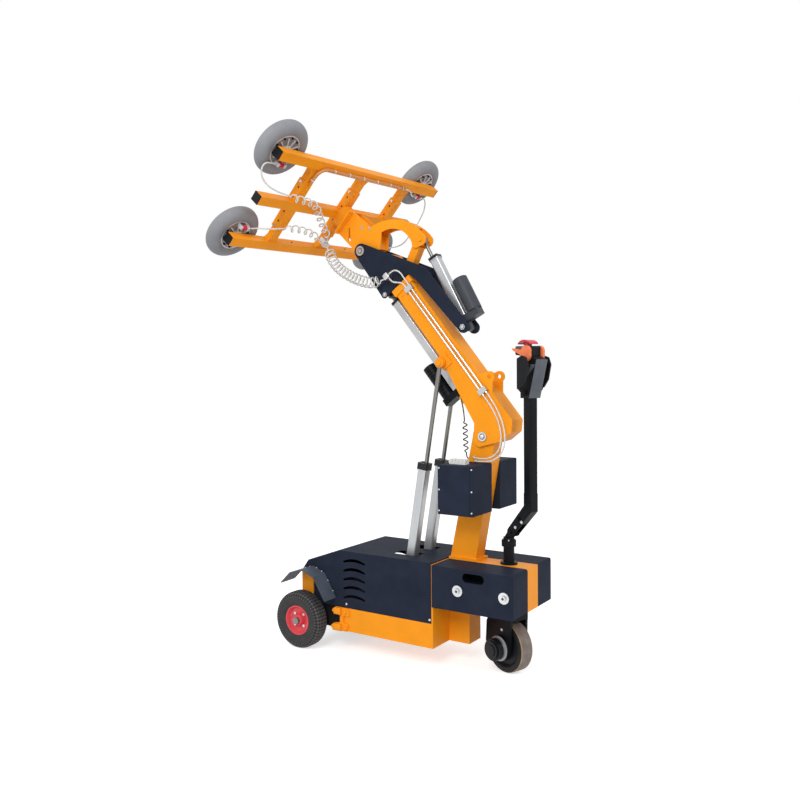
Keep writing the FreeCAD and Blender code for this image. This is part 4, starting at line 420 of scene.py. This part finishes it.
# Grey faces of the tiller head
STEM_HALF_WIDTH = 38
STEM_FACE_DEPTH = 2.5
STEM_REAR_AT = (-179, 0, 1346)
STEM_REAR_TOP = 1536
STEM_FLANK_AT = (-218, 0, 1504)
STEM_FLANK_TOP = 1506
CONSOLE_FROM = -138
CONSOLE_BOTTOM = 1566
stem_slope = (steer_ahead * -0.9656 + UP * -0.26).normalized()
flank_slope = (steer_ahead + UP * 0.932).normalized()
stem_width = every(
    beyond(-steer_side, steer_point(0, STEM_HALF_WIDTH, 0)),
    beyond(steer_side, steer_point(0, -STEM_HALF_WIDTH, 0)),
)
stem_rear = every(
    stem_width,
    beyond(stem_slope, steer_point(*STEM_REAR_AT) - stem_slope * (STEM_FACE_DEPTH * MM)),
    beyond(-UP, ground_point(0, 0, STEM_REAR_TOP)),
)
stem_flank = every(
    stem_width,
    beyond(flank_slope, steer_point(*STEM_FLANK_AT)),
    beyond(-UP, ground_point(0, 0, STEM_FLANK_TOP)),
)
console_front = every(
    beyond(steer_ahead, steer_point(CONSOLE_FROM, 0, 0)),
    beyond(UP, ground_point(0, 0, CONSOLE_BOTTOM)),
)

# Counterweights: painted shade in the hand slots, and the sockets of the bolts
WEIGHT_BOLTS_X = (161, -85)
WEIGHT_BOLT_Z = 422
SOCKET_RADIUS = 6.5
HAND_SLOT_REAR = 19
HAND_SLOT_FRONT = 137
HAND_SLOT_FACE = 227
HAND_SLOT_BOTTOM = 467
HAND_SLOT_TOP = 513
weight_sockets = some(*[
    within(ground_point(x, 0, WEIGHT_BOLT_Z), ACROSS, SOCKET_RADIUS * MM)
    for x in WEIGHT_BOLTS_X
])
# Painted shade: the inside of each hand slot is coloured black
hand_slot_shade = every(
    beyond(AHEAD, ground_point(HAND_SLOT_REAR, 0, 0)),
    beyond(-AHEAD, ground_point(HAND_SLOT_FRONT, 0, 0)),
    beyond(ACROSS, ground_point(0, -HAND_SLOT_FACE, 0)),
    beyond(-ACROSS, ground_point(0, HAND_SLOT_FACE, 0)),
    beyond(UP, ground_point(0, 0, HAND_SLOT_BOTTOM)),
    beyond(-UP, ground_point(0, 0, HAND_SLOT_TOP)),
)

# Painted shade on the tray's nose behind the front wheels, bolts of the rims, plates of the cup hubs, painted
# shadow rings around the pin bolts
TRAY_NOSE_FROM = 884
TRAY_NOSE_TOP = 235.2
RIM_BOLT_OFF = 29.7
RIM_BOLT_RADIUS = 7.2
HUB_PLATE_FROM = 39.5
HUB_PLATE_RADIUS = 81
PIN_RING_RADIUS = 14.5
SMALL_RING_RADIUS = 9.8
# Painted shade: the tray's nose behind the front wheels is coloured near-black
tray_nose_shade = every(
    beyond(AHEAD, ground_point(TRAY_NOSE_FROM, 0, 0)),
    beyond(-UP, ground_point(0, 0, TRAY_NOSE_TOP)),
)
wheel_hub = joint_at("wheel_left_spin")
rim_bolts = some(*[
    within(wheel_hub + Vector((x, 0, z)) * MM, ACROSS, RIM_BOLT_RADIUS * MM)
    for x in (-RIM_BOLT_OFF, RIM_BOLT_OFF)
    for z in (-RIM_BOLT_OFF, RIM_BOLT_OFF)
])
hub_plate = every(
    beyond(frame_ahead, frame_point(HUB_PLATE_FROM, 0, 0)),
    some(*[
        within(frame_point(0, u, v), frame_ahead, HUB_PLATE_RADIUS * MM)
        for u in (CUP_U, -CUP_U)
        for v in (CUP_V, -CUP_V)
    ]),
)
# Painted shadow: a dark ring just outside each pin bolt's washer
pin_ring_shade = some(
    within(joint_at("head_tilt"), ACROSS, PIN_RING_RADIUS * MM),
    within(boom_pivot, ACROSS, PIN_RING_RADIUS * MM),
    within(ground_point(TAIL_PIN_X, 0, TAIL_PIN_Z), ACROSS, SMALL_RING_RADIUS * MM),
    within(ground_point(EXT_PIN_X, 0, EXT_PIN_Z), ACROSS, SMALL_RING_RADIUS * MM),
)

materials = {
    "orange": surface("orange_paint", ORANGE, 0.42, vary=0.06, specular=0.12),
    # The tray's nose gets painted shade
    "tray": surface("tray_paint", ORANGE, 0.42, vary=0.06, specular=0.12,
                    zones=((tray_nose_shade, SHADE, 0.0),)),
    "navy": surface("navy_paint", NAVY, 0.5, vary=0.2, grain=700.0, specular=0.02),
    # The hand slots get painted shade
    "weight": surface("weight_paint", NAVY, 0.5, vary=0.2, grain=700.0, specular=0.02,
                      zones=((hand_slot_shade, BLACK, 0.0),)),
    # Fender colour carries painted sheen
    "fender": surface("fender_paint", FENDER_WITH_SHEEN, 0.45, vary=0.2, grain=700.0, specular=0.15),
    "steel": surface("bright_steel", STEEL, 0.32, metallic=1.0),
    # Pins get a painted shadow ring around their bolts
    "pin": surface("pin_steel", STEEL, 0.32, metallic=1.0, zones=((pin_ring_shade, SHADE, 0.4),)),
    "socket": surface("socket_steel", STEEL, 0.32, metallic=1.0,
                      zones=((weight_sockets, CHARCOAL, 0.0),)),
    "alloy": surface("brushed_alloy", HUB, 0.4, metallic=0.3, grain=300.0),
    "cup_hub": surface("cast_hub_alloy", HUB, 0.4, metallic=0.3, grain=300.0,
                       zones=((hub_plate, HUB_PLATE, 0.3),)),
    "lift_tube": surface("lift_tube_alloy", ALLOY, 0.36, metallic=0.75, stretch=(1, 1, 0.05), grain=300.0,
                         zones=((lift_cap, BLACK, 0.0),)),
    "tilt_tube": surface("tilt_tube_alloy", ALLOY, 0.36, metallic=0.75, grain=300.0,
                         zones=((tilt_cap, BLACK, 0.0),)),
    "ext_tube": surface("ext_tube_alloy", ALLOY, 0.36, metallic=0.75, grain=300.0,
                        zones=((ext_cap, BLACK, 0.0),)),
    "chrome": surface("hard_chrome", CHROME, 0.14, metallic=1.0, vary=0.05, depth=0.00005),
    "rod": surface("rod_steel", ROD, 0.3, metallic=0.8, vary=0.1, depth=0.00005),
    "lift_rod": surface("lift_rod_steel", ROD, 0.3, metallic=0.8, vary=0.1, depth=0.00005,
                        zones=((lift_eye_paint, ORANGE, 0.0),)),
    "black_plastic": surface("black_plastic", BLACK, 0.5, vary=0.3, grain=900.0, specular=0.15),
    "tiller_head": surface("tiller_plastic", BLACK, 0.48, vary=0.25, grain=900.0, specular=0.15, zones=(
        (stem_rear, STEM_GREY, 0.0),
        (stem_flank, STEM_GREY, 0.0),
        (console_front, STEM_GREY, 0.0),
    )),
    "black_metal": surface("black_metal", BLACK, 0.42, vary=0.3, specular=0.1),
    "drive_motor": surface("drive_motor_metal", BLACK, 0.4, vary=0.3, specular=0.2,
                           zones=((motor_ring, tinted(ALLOY, 0.6), 0.7),)),
    "grey_metal": surface("charcoal_metal", CHARCOAL, 0.45, vary=0.2, specular=0.2),
    "red": surface("red_enamel", RED, 0.34, vary=0.15, specular=0.25),
    "rim": surface("rim_enamel", RIM_RED, 0.34, vary=0.15, specular=0.3,
                   zones=((rim_bolts, STEEL, 0.8),)),
    "tyre": rubber_tyre("tyre_rubber", TYRE, wheel_hub),
    "tread": surface("drive_wheel_rubber", BLACK, 0.6, vary=0.25, patch=30.0, grain=260.0, depth=0.0006,
                     zones=((drive_rubber, TREAD, 0.0), (drive_edge, TREAD_EDGE, 0.0))),
    "cup": surface("cup_rubber", CUP_GREY, 0.62, vary=0.1, patch=14.0, depth=0.0004),
    "paddle": surface("paddle_plastic", PADDLE, 0.4, vary=0.1),
    "button": surface("button_plastic", BUTTON_RED, 0.3, vary=0.1, coat=0.3),
    "white": surface("white_plastic", WHITE, 0.4, vary=0.06),
    "hose": hose_plastic("milky_hose", MILKY),
    "amber_hose": hose_plastic("amber_hose", AMBER, 0.35),
    "cord": surface("cord_rubber", CORD, 0.5, vary=0.3),
}

# The solids that wear each finish
FINISHES = {
    "tray": "base_tray",
    "orange": "clamp_brackets spine mast boom inner_boom tilt_arm "
              "upper_beam middle_beam lower_beam cross_arms",
    "fender": "fenders",
    "navy": "hood control_box_left control_box_right jib",
    "weight": "counterweight_left counterweight_right",
    "pin": "boom_pins jib_pins",
    "steel": "lift_foot_pins",
    "socket": "counterweight_bolts",
    "cup_hub": "cup_hubs",
    "lift_tube": "lift_tube_left lift_tube_right",
    "tilt_tube": "tilt_tube",
    "ext_tube": "ext_tube",
    "chrome": "boom_pipes",
    "rod": "ext_rod tilt_rod front_axle",
    "lift_rod": "lift_rod_left lift_rod_right",
    "black_plastic": "beam_caps batteries",
    "tiller_head": "tiller_head",
    "black_metal": "ext_motor drive_fork tiller_arm",
    "drive_motor": "drive_motor",
    "grey_metal": "tilt_motor vacuum_unit",
    "red": "valve_upper_left valve_upper_right valve_lower_left valve_lower_right",
    "rim": "rim_left rim_right",
    "tyre": "tyre_left tyre_right",
    "tread": "drive_wheel",
    "cup": "cup_rubbers",
    "paddle": "thumb_lever",
    "button": "belly_button",
    "white": "terminal_strip",
}


def dress_nodes():
    for finish, names in FINISHES.items():
        for name in names.split():
            mesh = nodes[name].data
            mesh.materials.clear()
            mesh.materials.append(materials[finish])


# Hoses and cords: radii in metres, routes and places in millimetres
HOSE_RADIUS = 0.004
TIED_RADIUS = 0.009
CORD_RADIUS = 0.003
VALVE_N = 18
VALVE_ROW = 191
VALVE_NEAR = 567.1
VALVE_FAR = 632.9
TIED_N = -34.3
TIED_V = 249
TIED_END = 352
TIED_DOWN = 156
TIED_BEND = 38.5
TIED_BEND_FROM = 93
ARM_U = 396
COIL_SPLIT = 0.7


def smooth_line(name, points):
    data = bpy.data.curves.new(name + "_line", "CURVE")
    data.dimensions = "3D"
    spline = data.splines.new("NURBS")
    spline.points.add(len(points) - 1)
    for target, point in zip(spline.points, points):
        target.co = (*point, 1)
    spline.order_u = 3
    spline.use_endpoint_u = True
    spline.resolution_u = 12
    carrier = bpy.data.objects.new(name + "_line", data)
    scene.collection.objects.link(carrier)
    bpy.context.view_layer.update()
    evaluated = carrier.evaluated_get(bpy.context.evaluated_depsgraph_get())
    mesh = bpy.data.meshes.new_from_object(evaluated)
    line = [v.co.copy() for v in mesh.vertices]
    bpy.data.objects.remove(carrier)
    bpy.data.meshes.remove(mesh)
    return line


def tube_mesh(name, line, radius, sides=10):
    mesh = bpy.data.meshes.new(name)
    made = bmesh.new()
    across = None
    rings = []
    for i, point in enumerate(line):
        along = (line[min(i + 1, len(line) - 1)] - line[max(i - 1, 0)]).normalized()
        if across is None:
            across = along.orthogonal()
        across = (across - along * across.dot(along)).normalized()
        third = along.cross(across)
        ring = []
        for k in range(sides):
            turn = 2 * math.pi * k / sides
            out = across * math.cos(turn) + third * math.sin(turn)
            ring.append(made.verts.new(point + out * radius))
        rings.append(ring)
    for low, high in zip(rings, rings[1:]):
        for k in range(sides):
            made.faces.new((low[k], low[(k + 1) % sides], high[(k + 1) % sides], high[k]))
    made.faces.new(list(reversed(rings[0])))
    made.faces.new(rings[-1])
    for face in made.faces:
        face.smooth = True
    made.to_mesh(mesh)
    made.free()
    piece = bpy.data.objects.new(name, mesh)
    scene.collection.objects.link(piece)
    return piece


def length_of(line):
    return sum((b - a).length for a, b in zip(line, line[1:]))


def point_at(line, lengths, distance):
    for i in range(1, len(line)):
        if lengths[i] >= distance or i == len(line) - 1:
            share = (distance - lengths[i - 1]) / max(lengths[i] - lengths[i - 1], 1e-9)
            return line[i - 1].lerp(line[i], min(max(share, 0), 1)), (line[i] - line[i - 1]).normalized()


def curled_line(line, curl_radius, turns, lead_in, lead_out, per_turn=20):
    lengths = [0.0]
    for a, b in zip(line, line[1:]):
        lengths.append(lengths[-1] + (b - a).length)
    total = lengths[-1]
    steps = int(turns * per_turn * total / (total - lead_in - lead_out))
    across = (line[1] - line[0]).normalized().cross(ACROSS).normalized()
    track = []
    for i in range(steps + 1):
        distance = total * i / steps
        at, along = point_at(line, lengths, distance)
        across = (across - along * across.dot(along)).normalized()
        third = along.cross(across)
        share = min(max((distance - lead_in) / (total - lead_in - lead_out), 0), 1)
        rise = min(1, share * turns, (1 - share) * turns)
        swell = curl_radius * rise * rise * (3 - 2 * rise)
        turn = 2 * math.pi * turns * share
        track.append(at + across * (swell * math.cos(turn)) + third * (swell * math.sin(turn)))
    return track


def add_hose(name, line, radius, finish, node):
    piece = tube_mesh(name, line, radius)
    piece.data.materials.append(materials[finish])
    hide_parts(node)
    return piece


def declare(line):
    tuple(line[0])
    length_of(line)


def boom_leads():
    low = [
        boom_point(867.3, 74, 138),
        boom_point(893.3, 74, 138),
        boom_point(913.3, 86, 118),
        boom_point(931, 96, 101),
        boom_point(958.7, 96, 101),
    ]
    high = [
        boom_point(867.3, 74, 160),
        boom_point(903.3, 74, 160),
        boom_point(943.3, 88, 168),
        boom_point(975, 96, 148),
        boom_point(975, 96, 112.3),
    ]
    for name, route in (("lead_low", low), ("lead_high", high)):
        line = smooth_line(name, route)
        piece = add_hose(name, line, HOSE_RADIUS, "hose", "hose_leads")
        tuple(route[0])
        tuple(route[-1])
        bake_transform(piece)
        declare(line)


def main_coil():
    route = [
        boom_point(975, 96, 80),
        boom_point(975, 96, 62),
        ground_point(752, 106, 1938),
        ground_point(890, 90, 1983),
        ground_point(1020, 66, 2062),
        frame_point(-98, 50, -178),
        frame_point(-74.3, 50, -178),
    ]
    line = curled_line(smooth_line("coil", route), curl_radius=0.027, turns=18, lead_in=0.024, lead_out=0.024)
    split = int(COIL_SPLIT * len(line))
    lower = line[:split + 1]
    upper = line[split:]
    piece = add_hose("coil_lower", lower, HOSE_RADIUS, "hose", "hose_coil")
    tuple(route[1])
    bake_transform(piece)
    declare(lower)
    piece = add_hose("coil_upper", upper, HOSE_RADIUS, "hose", "hose_coil")
    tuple(route[-1])
    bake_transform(piece)
    declare(upper)
    axes = (boom_ahead, ACROSS, boom_up)
    tee = block("hose_tee", boom_point(975, 86, 96), axes, sizes=(32, 48, 32), round_off=4)
    tee.data.materials.append(materials["steel"])
    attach(tee, "jib")


def climb_hose():
    curled = [
        frame_point(-64, 44, -165.7),
        frame_point(-64, 44, -157.7),
        frame_point(-62, 72, -118),
        frame_point(-58, 156, -62),
        frame_point(-56, 228, -4),
        frame_point(-55, 296, 52),
        frame_point(-55, 390, 62),
        frame_point(-50, 470, 66),
        frame_point(-42, 530, 70),
    ]
    rest = [
        frame_point(-34, 590, 74),
        frame_point(-22, 648, 86),
        frame_point(-4, 694, 112),
        frame_point(12, 714, 150),
        frame_point(22, 702, 184),
        frame_point(VALVE_N, 668, VALVE_ROW),
        frame_point(VALVE_N, VALVE_FAR, VALVE_ROW),
    ]
    tail = length_of(smooth_line("climb_tail", curled[-1:] + rest))
    line = smooth_line("climb", curled + rest)
    line = curled_line(line, curl_radius=0.018, turns=10, lead_in=0.018, lead_out=tail + 0.022)
    piece = add_hose("climb_hose", line, HOSE_RADIUS, "hose", "frame_hoses")
    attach(piece, "vacuum_frame")
    declare(line)


def drop_hose():
    curled = [
        frame_point(-64, 64.3, -178),
        frame_point(-63, 112, -160),
        frame_point(-60, 180, -124),
        frame_point(-58, 300, -106),
        frame_point(-58, 400, -112),
        frame_point(-52, 452, -126),
    ]
    rest = [
        frame_point(-42, 488, -140),
        frame_point(-14, 510, -162),
        frame_point(12, 526, -182),
        frame_point(VALVE_N, 544, -VALVE_ROW),
        frame_point(VALVE_N, VALVE_NEAR, -VALVE_ROW),
    ]
    tail = length_of(smooth_line("drop_tail", curled[-1:] + rest))
    line = smooth_line("drop", curled + rest)
    line = curled_line(line, curl_radius=0.017, turns=6, lead_in=0.048, lead_out=tail + 0.028)
    piece = add_hose("drop_hose", line, HOSE_RADIUS, "hose", "frame_hoses")
    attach(piece, "vacuum_frame")
    declare(line)


def valve_hoses():
    across = [
        frame_point(TIED_N, -TIED_END - 0.3, TIED_V),
        frame_point(TIED_N, -TIED_END - 44, TIED_V - 3),
        frame_point(-32, -442, TIED_V - 16),
        frame_point(-14, -482, VALVE_ROW + 18),
        frame_point(12, -520, VALVE_ROW + 3),
        frame_point(VALVE_N, -546, VALVE_ROW),
        frame_point(VALVE_N, -VALVE_NEAR, VALVE_ROW),
    ]
    hang = [
        frame_point(VALVE_N, -VALVE_FAR, VALVE_ROW),
        frame_point(VALVE_N, -672, VALVE_ROW),
        frame_point(18, -706, VALVE_ROW - 20),
        frame_point(2, -722, 130),
        frame_point(-22, -702, 86),
        frame_point(-40, -684, 34),
        frame_point(-44, -678, -24),
        frame_point(-36, -690, -80),
        frame_point(-16, -716, -128),
        frame_point(8, -714, -170),
        frame_point(22, -690, -VALVE_ROW),
        frame_point(VALVE_N, -662, -VALVE_ROW),
        frame_point(VALVE_N, -VALVE_FAR, -VALVE_ROW),
    ]
    for name, route in (("across_hose", across), ("hanging_hose", hang)):
        line = smooth_line(name, route)
        piece = add_hose(name, line, HOSE_RADIUS, "hose", "frame_hoses")
        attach(piece, "vacuum_frame")
        declare(line)


def tied_hose():
    route = [
        frame_point(TIED_N, -TIED_END, TIED_V),
        frame_point(TIED_N, ARM_U - TIED_BEND_FROM, TIED_V),
        frame_point(TIED_N, ARM_U - TIED_BEND, TIED_V),
        frame_point(TIED_N, ARM_U, TIED_V - TIED_BEND),
        frame_point(TIED_N, ARM_U, TIED_DOWN),
    ]
    line = smooth_line("tied", route)
    piece = add_hose("tied_hose", line, TIED_RADIUS, "amber_hose", "frame_hoses")
    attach(piece, "vacuum_frame")


def mast_pair():
    near = [
        boom_point(148.7, 74, 138),
        boom_point(100.7, 74, 138),
        ground_point(28, 82, 1266),
        ground_point(2, 86, 1206),
        ground_point(-6, 88, 1144),
        ground_point(8, 90, 1088),
        ground_point(52, 90, 1052),
        ground_point(104, 90, 1046),
        ground_point(134, 88, 1048),
        ground_point(152, 78, 1050),
        ground_point(161, 62, 1052),
        ground_point(161, 45.3, 1052),
    ]
    far = [
        boom_point(148.7, 74, 160),
        boom_point(93.7, 74, 160),
        ground_point(6, 86, 1268),
        ground_point(-22, 92, 1204),
        ground_point(-30, 96, 1138),
        ground_point(-14, 100, 1076),
        ground_point(36, 102, 1040),
        ground_point(88, 99, 1034),
        ground_point(122, 95, 1033),
        ground_point(141, 84, 1034),
        ground_point(150, 66, 1035),
        ground_point(150, 45.3, 1035),
    ]
    for name, route in (("mast_hose_near", near), ("mast_hose_far", far)):
        line = smooth_line(name, route)
        piece = add_hose(name, line, HOSE_RADIUS, "hose", "mast_hoses")
        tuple(route[5])
        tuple(route[0])
        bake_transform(piece)
        declare(line)


def curly_cord():
    top = boom_point(246, 42, 62.7)
    route = [
        ground_point(203, 36, 1040),
        ground_point(211, 36, 1040),
        ground_point(215, 38, 1066),
        ground_point(217, 40, 1130),
        ground_point(219, 41, 1200),
        ground_point(228, 42, 1290),
        top - boom_up * 0.034 + Vector((2, 0, -12)) * MM,
        top,
    ]
    line = curled_line(smooth_line("cord", route), curl_radius=0.011, turns=6, lead_in=0.024, lead_out=0.158)
    piece = add_hose("curly_cord_black", line, CORD_RADIUS, "cord", "curly_cord")
    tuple(route[2])
    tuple(route[-1])
    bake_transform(piece)
    declare(line)


def block(name, centre, axes, sizes, round_off):
    made = bmesh.new()
    bmesh.ops.create_cube(made, size=1.0)
    scale = Matrix.Diagonal((*[s * MM for s in sizes], 1))
    turn = Matrix(axes).transposed().to_4x4()
    made.transform(Matrix.Translation(centre) @ turn @ scale)
    bmesh.ops.bevel(
        made, geom=list(made.edges), offset=round_off * MM, segments=3, affect="EDGES", profile=0.5
    )
    for face in made.faces:
        face.smooth = True
    mesh = bpy.data.meshes.new(name)
    made.to_mesh(mesh)
    made.free()
    piece = bpy.data.objects.new(name, mesh)
    scene.collection.objects.link(piece)
    return piece


def hose_manifold():
    axes = (frame_ahead, frame_side, frame_up)
    body = block("hose_manifold", frame_point(-64, 47.5, -178), axes, sizes=(20, 33, 24), round_off=2)
    plate = block("manifold_plate", frame_point(-37, 28, -178), axes, sizes=(74, 6, 24), round_off=1)
    for piece in (body, plate):
        piece.data.materials.append(materials["alloy"])
        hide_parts("frame_hoses")
        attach(piece, "vacuum_frame")


# Screws, bolts and ties, in millimetres
HEX_SIDES = 6
SCREW_SIDES = 16
BAND_SIDES = 20
BOX_FACE_Y = 240
HOOD_FACE_Y = 218
FENDER_SCREW_Y = 212
FENDER_PROFILE = [(1206, 342), (1142, 404), (1065, 428), (984, 398), (908, 283)]
CUP_BOLTS = 10
CUP_BOLT_CIRCLE = 74
SLEEVE_HALF_WIDTH = 30
COLUMN_BOLT_OFF = 22.05


def lathe(made, at, axis, rings, sides):
    across = axis.orthogonal().normalized()
    third = axis.cross(across)
    loops = []
    for radius, height in rings:
        loop = []
        for k in range(sides):
            turn = 2 * math.pi * k / sides
            out = across * math.cos(turn) + third * math.sin(turn)
            loop.append(made.verts.new(at + (out * radius + axis * height) * MM))
        loops.append(loop)
    for low, high in zip(loops, loops[1:]):
        for k in range(sides):
            made.faces.new((low[k], low[(k + 1) % sides], high[(k + 1) % sides], high[k]))
    made.faces.new(list(reversed(loops[0])))
    made.faces.new(loops[-1])


def fastenings(name, places, rings, sides, finish, body):
    made = bmesh.new()
    for at, axis in places:
        lathe(made, at, axis.normalized(), rings, sides)
    mesh = bpy.data.meshes.new(name)
    made.to_mesh(mesh)
    made.free()
    piece = bpy.data.objects.new(name, mesh)
    scene.collection.objects.link(piece)
    piece.data.materials.append(materials[finish])
    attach(piece, body)


def screw(radius, height):
    return [
        (radius, 0),
        (radius, 0.4 * height),
        (0.8 * radius, 0.85 * height),
        (0.5 * radius, height),
        (0.4 * radius, 0.6 * height),
    ]


def box_screws():
    places = []
    for side in (1, -1):
        for x in (77, 255):
            for z in (803, 904, 1009):
                places.append((ground_point(x, side * BOX_FACE_Y, z), ACROSS * side))
    fastenings("box_screws", places, screw(4.5, 2.5), SCREW_SIDES, "steel", "chassis")


def hood_screws():
    places = []
    for side in (1, -1):
        for x, z in ((835, 256), (325, 254)):
            places.append((ground_point(x, side * HOOD_FACE_Y, z), ACROSS * side))
    fastenings("hood_screws", places, screw(6.5, 4), SCREW_SIDES, "steel", "chassis")


def fender_screws():
    places = []
    for (x0, z0), (x1, z1) in zip(FENDER_PROFILE, FENDER_PROFILE[1:]):
        out = Vector((z0 - z1, 0, x1 - x0)).normalized()
        if out.z < 0:
            out = -out
        for share in (0.3, 0.75):
            for side in (1, -1):
                x = x0 + share * (x1 - x0)
                z = z0 + share * (z1 - z0)
                places.append((ground_point(x, side * FENDER_SCREW_Y, z), out))
    fastenings("fender_screws", places, screw(4, 2.5), 12, "steel", "chassis")


def cup_bolts():
    places = []
    for u in (CUP_U, -CUP_U):
        for v in (CUP_V, -CUP_V):
            for k in range(CUP_BOLTS):
                turn = 2 * math.pi * k / CUP_BOLTS
                # The valve takes the place of the bolts nearest to the frame's middle
                if math.cos(turn) * v < -200:
                    continue
                along = u + CUP_BOLT_CIRCLE * math.sin(turn)
                over = v + CUP_BOLT_CIRCLE * math.cos(turn)
                places.append((frame_point(40, along, over), -frame_ahead))
    fastenings("cup_bolts", places, screw(6, 7), HEX_SIDES, "black_metal", "vacuum_frame")


def hex_bolt(radius, height):
    return [
        (1.35 * radius, 0),
        (1.35 * radius, 0.2 * height),
        (radius, 0.2 * height),
        (radius, 0.9 * height),
        (0.86 * radius, height),
    ]


def both_sides(*spots):
    return [(ground_point(x, side * y, z), ACROSS * side) for x, y, z in spots for side in (1, -1)]


def pin_bolts():
    for name, body, radius, spots in (
        ("pivot_bolts", "jib", 9, [(842, 69, 2123)]),
        ("jib_bolts", "jib", 6, [(TAIL_PIN_X, 70, TAIL_PIN_Z), (EXT_PIN_X, 70, EXT_PIN_Z)]),
        ("boom_bolts", "boom", 9, [(111, 67.3, 1153)]),
        ("bracket_bolts", "tilt_arm", 7, [(848, 40, 2252), (797, 40, 2243), (478, 40, 2156)]),
    ):
        bolt = hex_bolt(radius, 0.75 * radius)
        fastenings(name, both_sides(*spots), bolt, HEX_SIDES, "steel", body)
    collar = both_sides((576.6, 60, 1869.7))
    fastenings("collar_bolts", collar, hex_bolt(7, 5), HEX_SIDES, "orange", "boom")


def sleeve_bolts():
    locks = []
    screws = []
    for u in (ARM_U, 0, -ARM_U):
        for v in (1, -1):
            for side in (1, -1):
                face = frame_side * side
                face_u = u + side * SLEEVE_HALF_WIDTH
                locks.append((frame_point(0, face_u, v * 138), face))
                screws += [(frame_point(-4, face_u, v * at), face) for at in (46, 106)]
    screws += [(frame_point(0, u, -232), frame_up) for u in (230, -230)]
    fastenings("sleeve_bolts", locks, hex_bolt(6, 9), HEX_SIDES, "steel", "vacuum_frame")
    fastenings("sleeve_screws", screws, screw(4.5, 2.5), SCREW_SIDES, "black_metal",
               "vacuum_frame")


def tiller_bolts():
    arm = []
    for side in (1, -1):
        face = steer_side * side
        arm += [(steer_point(x, side * 22, z), face) for x, z in ((-68, 719), (-110, 750))]
    fastenings("tiller_bolts", arm, hex_bolt(6, 5), HEX_SIDES, "steel", "tiller")
    off = (COLUMN_BOLT_OFF, -COLUMN_BOLT_OFF)
    column = [(steer_point(x, y, 646), UP) for x in off for y in off]
    fastenings("column_bolts", column, hex_bolt(3.3, 6), HEX_SIDES, "steel", "steering")
    cheeks = [(steer_point(-9, side * 59, 216), steer_side * side) for side in (1, -1)]
    fastenings("fork_bolts", cheeks, hex_bolt(5.5, 4), HEX_SIDES, "steel", "steering")


def hose_ties():
    band = [(8.6, -2), (9.9, -2), (10.3, -1.2), (10.3, 1.2), (9.9, 2), (8.6, 2)]
    places = [(frame_point(TIED_N, u, TIED_V), frame_side) for u in (280, 158, 36, -86, -208, -330)]
    places.append((frame_point(TIED_N, ARM_U, TIED_DOWN + 18), frame_up))
    fastenings("hose_ties", places, band, BAND_SIDES, "white", "vacuum_frame")


# Stage
FLOOR_HALF = 20
FLOOR_GLOW = 0.6
WORLD_LIGHT = 0.6
LAMP_TARGET = Vector((0, 0, 1.2))
LAMPS = (
    ("key", (-1.8, 6.4, 5.4), 3.0, 270),
    ("fill", (-6.0, 1.0, 5.0), 3.5, 110),
    ("rim", (4.0, 3.0, 5.0), 3.0, 50),
)


def background_rays(tree):
    ray = tree.nodes.new("ShaderNodeLightPath")
    seen = math_node(tree, "MAXIMUM", ray.outputs["Is Camera Ray"], ray.outputs["Is Glossy Ray"])
    return math_node(tree, "MAXIMUM", seen, ray.outputs["Is Transmission Ray"])


def add_floor():
    mesh = bpy.data.meshes.new("floor")
    corners = [(x * FLOOR_HALF, y * FLOOR_HALF, 0) for x, y in ((-1, -1), (1, -1), (1, 1), (-1, 1))]
    mesh.from_pydata(corners, [], [(0, 1, 2, 3)])
    floor = bpy.data.objects.new("floor", mesh)
    scene.collection.objects.link(floor)
    made, tree, shader = new_material("pale_floor")
    tint = ramp(tree, noise(tree, 3.0), (0.79, 0.79, 0.79), (0.81, 0.81, 0.81))
    tree.links.new(tint, shader.inputs["Base Color"])
    shader.inputs["Roughness"].default_value = 0.9
    shader.inputs["Specular IOR Level"].default_value = 0.0
    shader.inputs["Emission Color"].default_value = (1, 1, 1, 1)
    glow = math_node(tree, "MULTIPLY", background_rays(tree), FLOOR_GLOW)
    tree.links.new(glow, shader.inputs["Emission Strength"])
    mesh.materials.append(made)


def add_world():
    world = bpy.data.worlds.new("studio")
    world.use_nodes = True
    scene.world = world
    tree = world.node_tree
    light = tree.nodes["Background"]
    light.inputs["Color"].default_value = (1, 1, 1, 1)
    light.inputs["Strength"].default_value = WORLD_LIGHT
    white = tree.nodes.new("ShaderNodeBackground")
    white.inputs["Color"].default_value = (1, 1, 1, 1)
    white.inputs["Strength"].default_value = 1.0
    mix = tree.nodes.new("ShaderNodeMixShader")
    tree.links.new(background_rays(tree), mix.inputs["Fac"])
    tree.links.new(light.outputs["Background"], mix.inputs[1])
    tree.links.new(white.outputs["Background"], mix.inputs[2])
    tree.links.new(mix.outputs["Shader"], tree.nodes["World Output"].inputs["Surface"])


def add_lamps():
    for name, at, size, power in LAMPS:
        data = bpy.data.lights.new(name, "AREA")
        data.size = size
        data.energy = power
        lamp = bpy.data.objects.new(name, data)
        lamp.location = at
        lamp.rotation_euler = (LAMP_TARGET - Vector(at)).to_track_quat("-Z", "Y").to_euler()
        scene.collection.objects.link(lamp)


add_camera()
dress_nodes()
boom_leads()
main_coil()
climb_hose()
drop_hose()
valve_hoses()
tied_hose()
hose_manifold()
mast_pair()
curly_cord()
box_screws()
hood_screws()
fender_screws()
cup_bolts()
pin_bolts()
sleeve_bolts()
tiller_bolts()
hose_ties()
add_floor()
add_world()
add_lamps()
scene.view_settings.view_transform = "Standard"
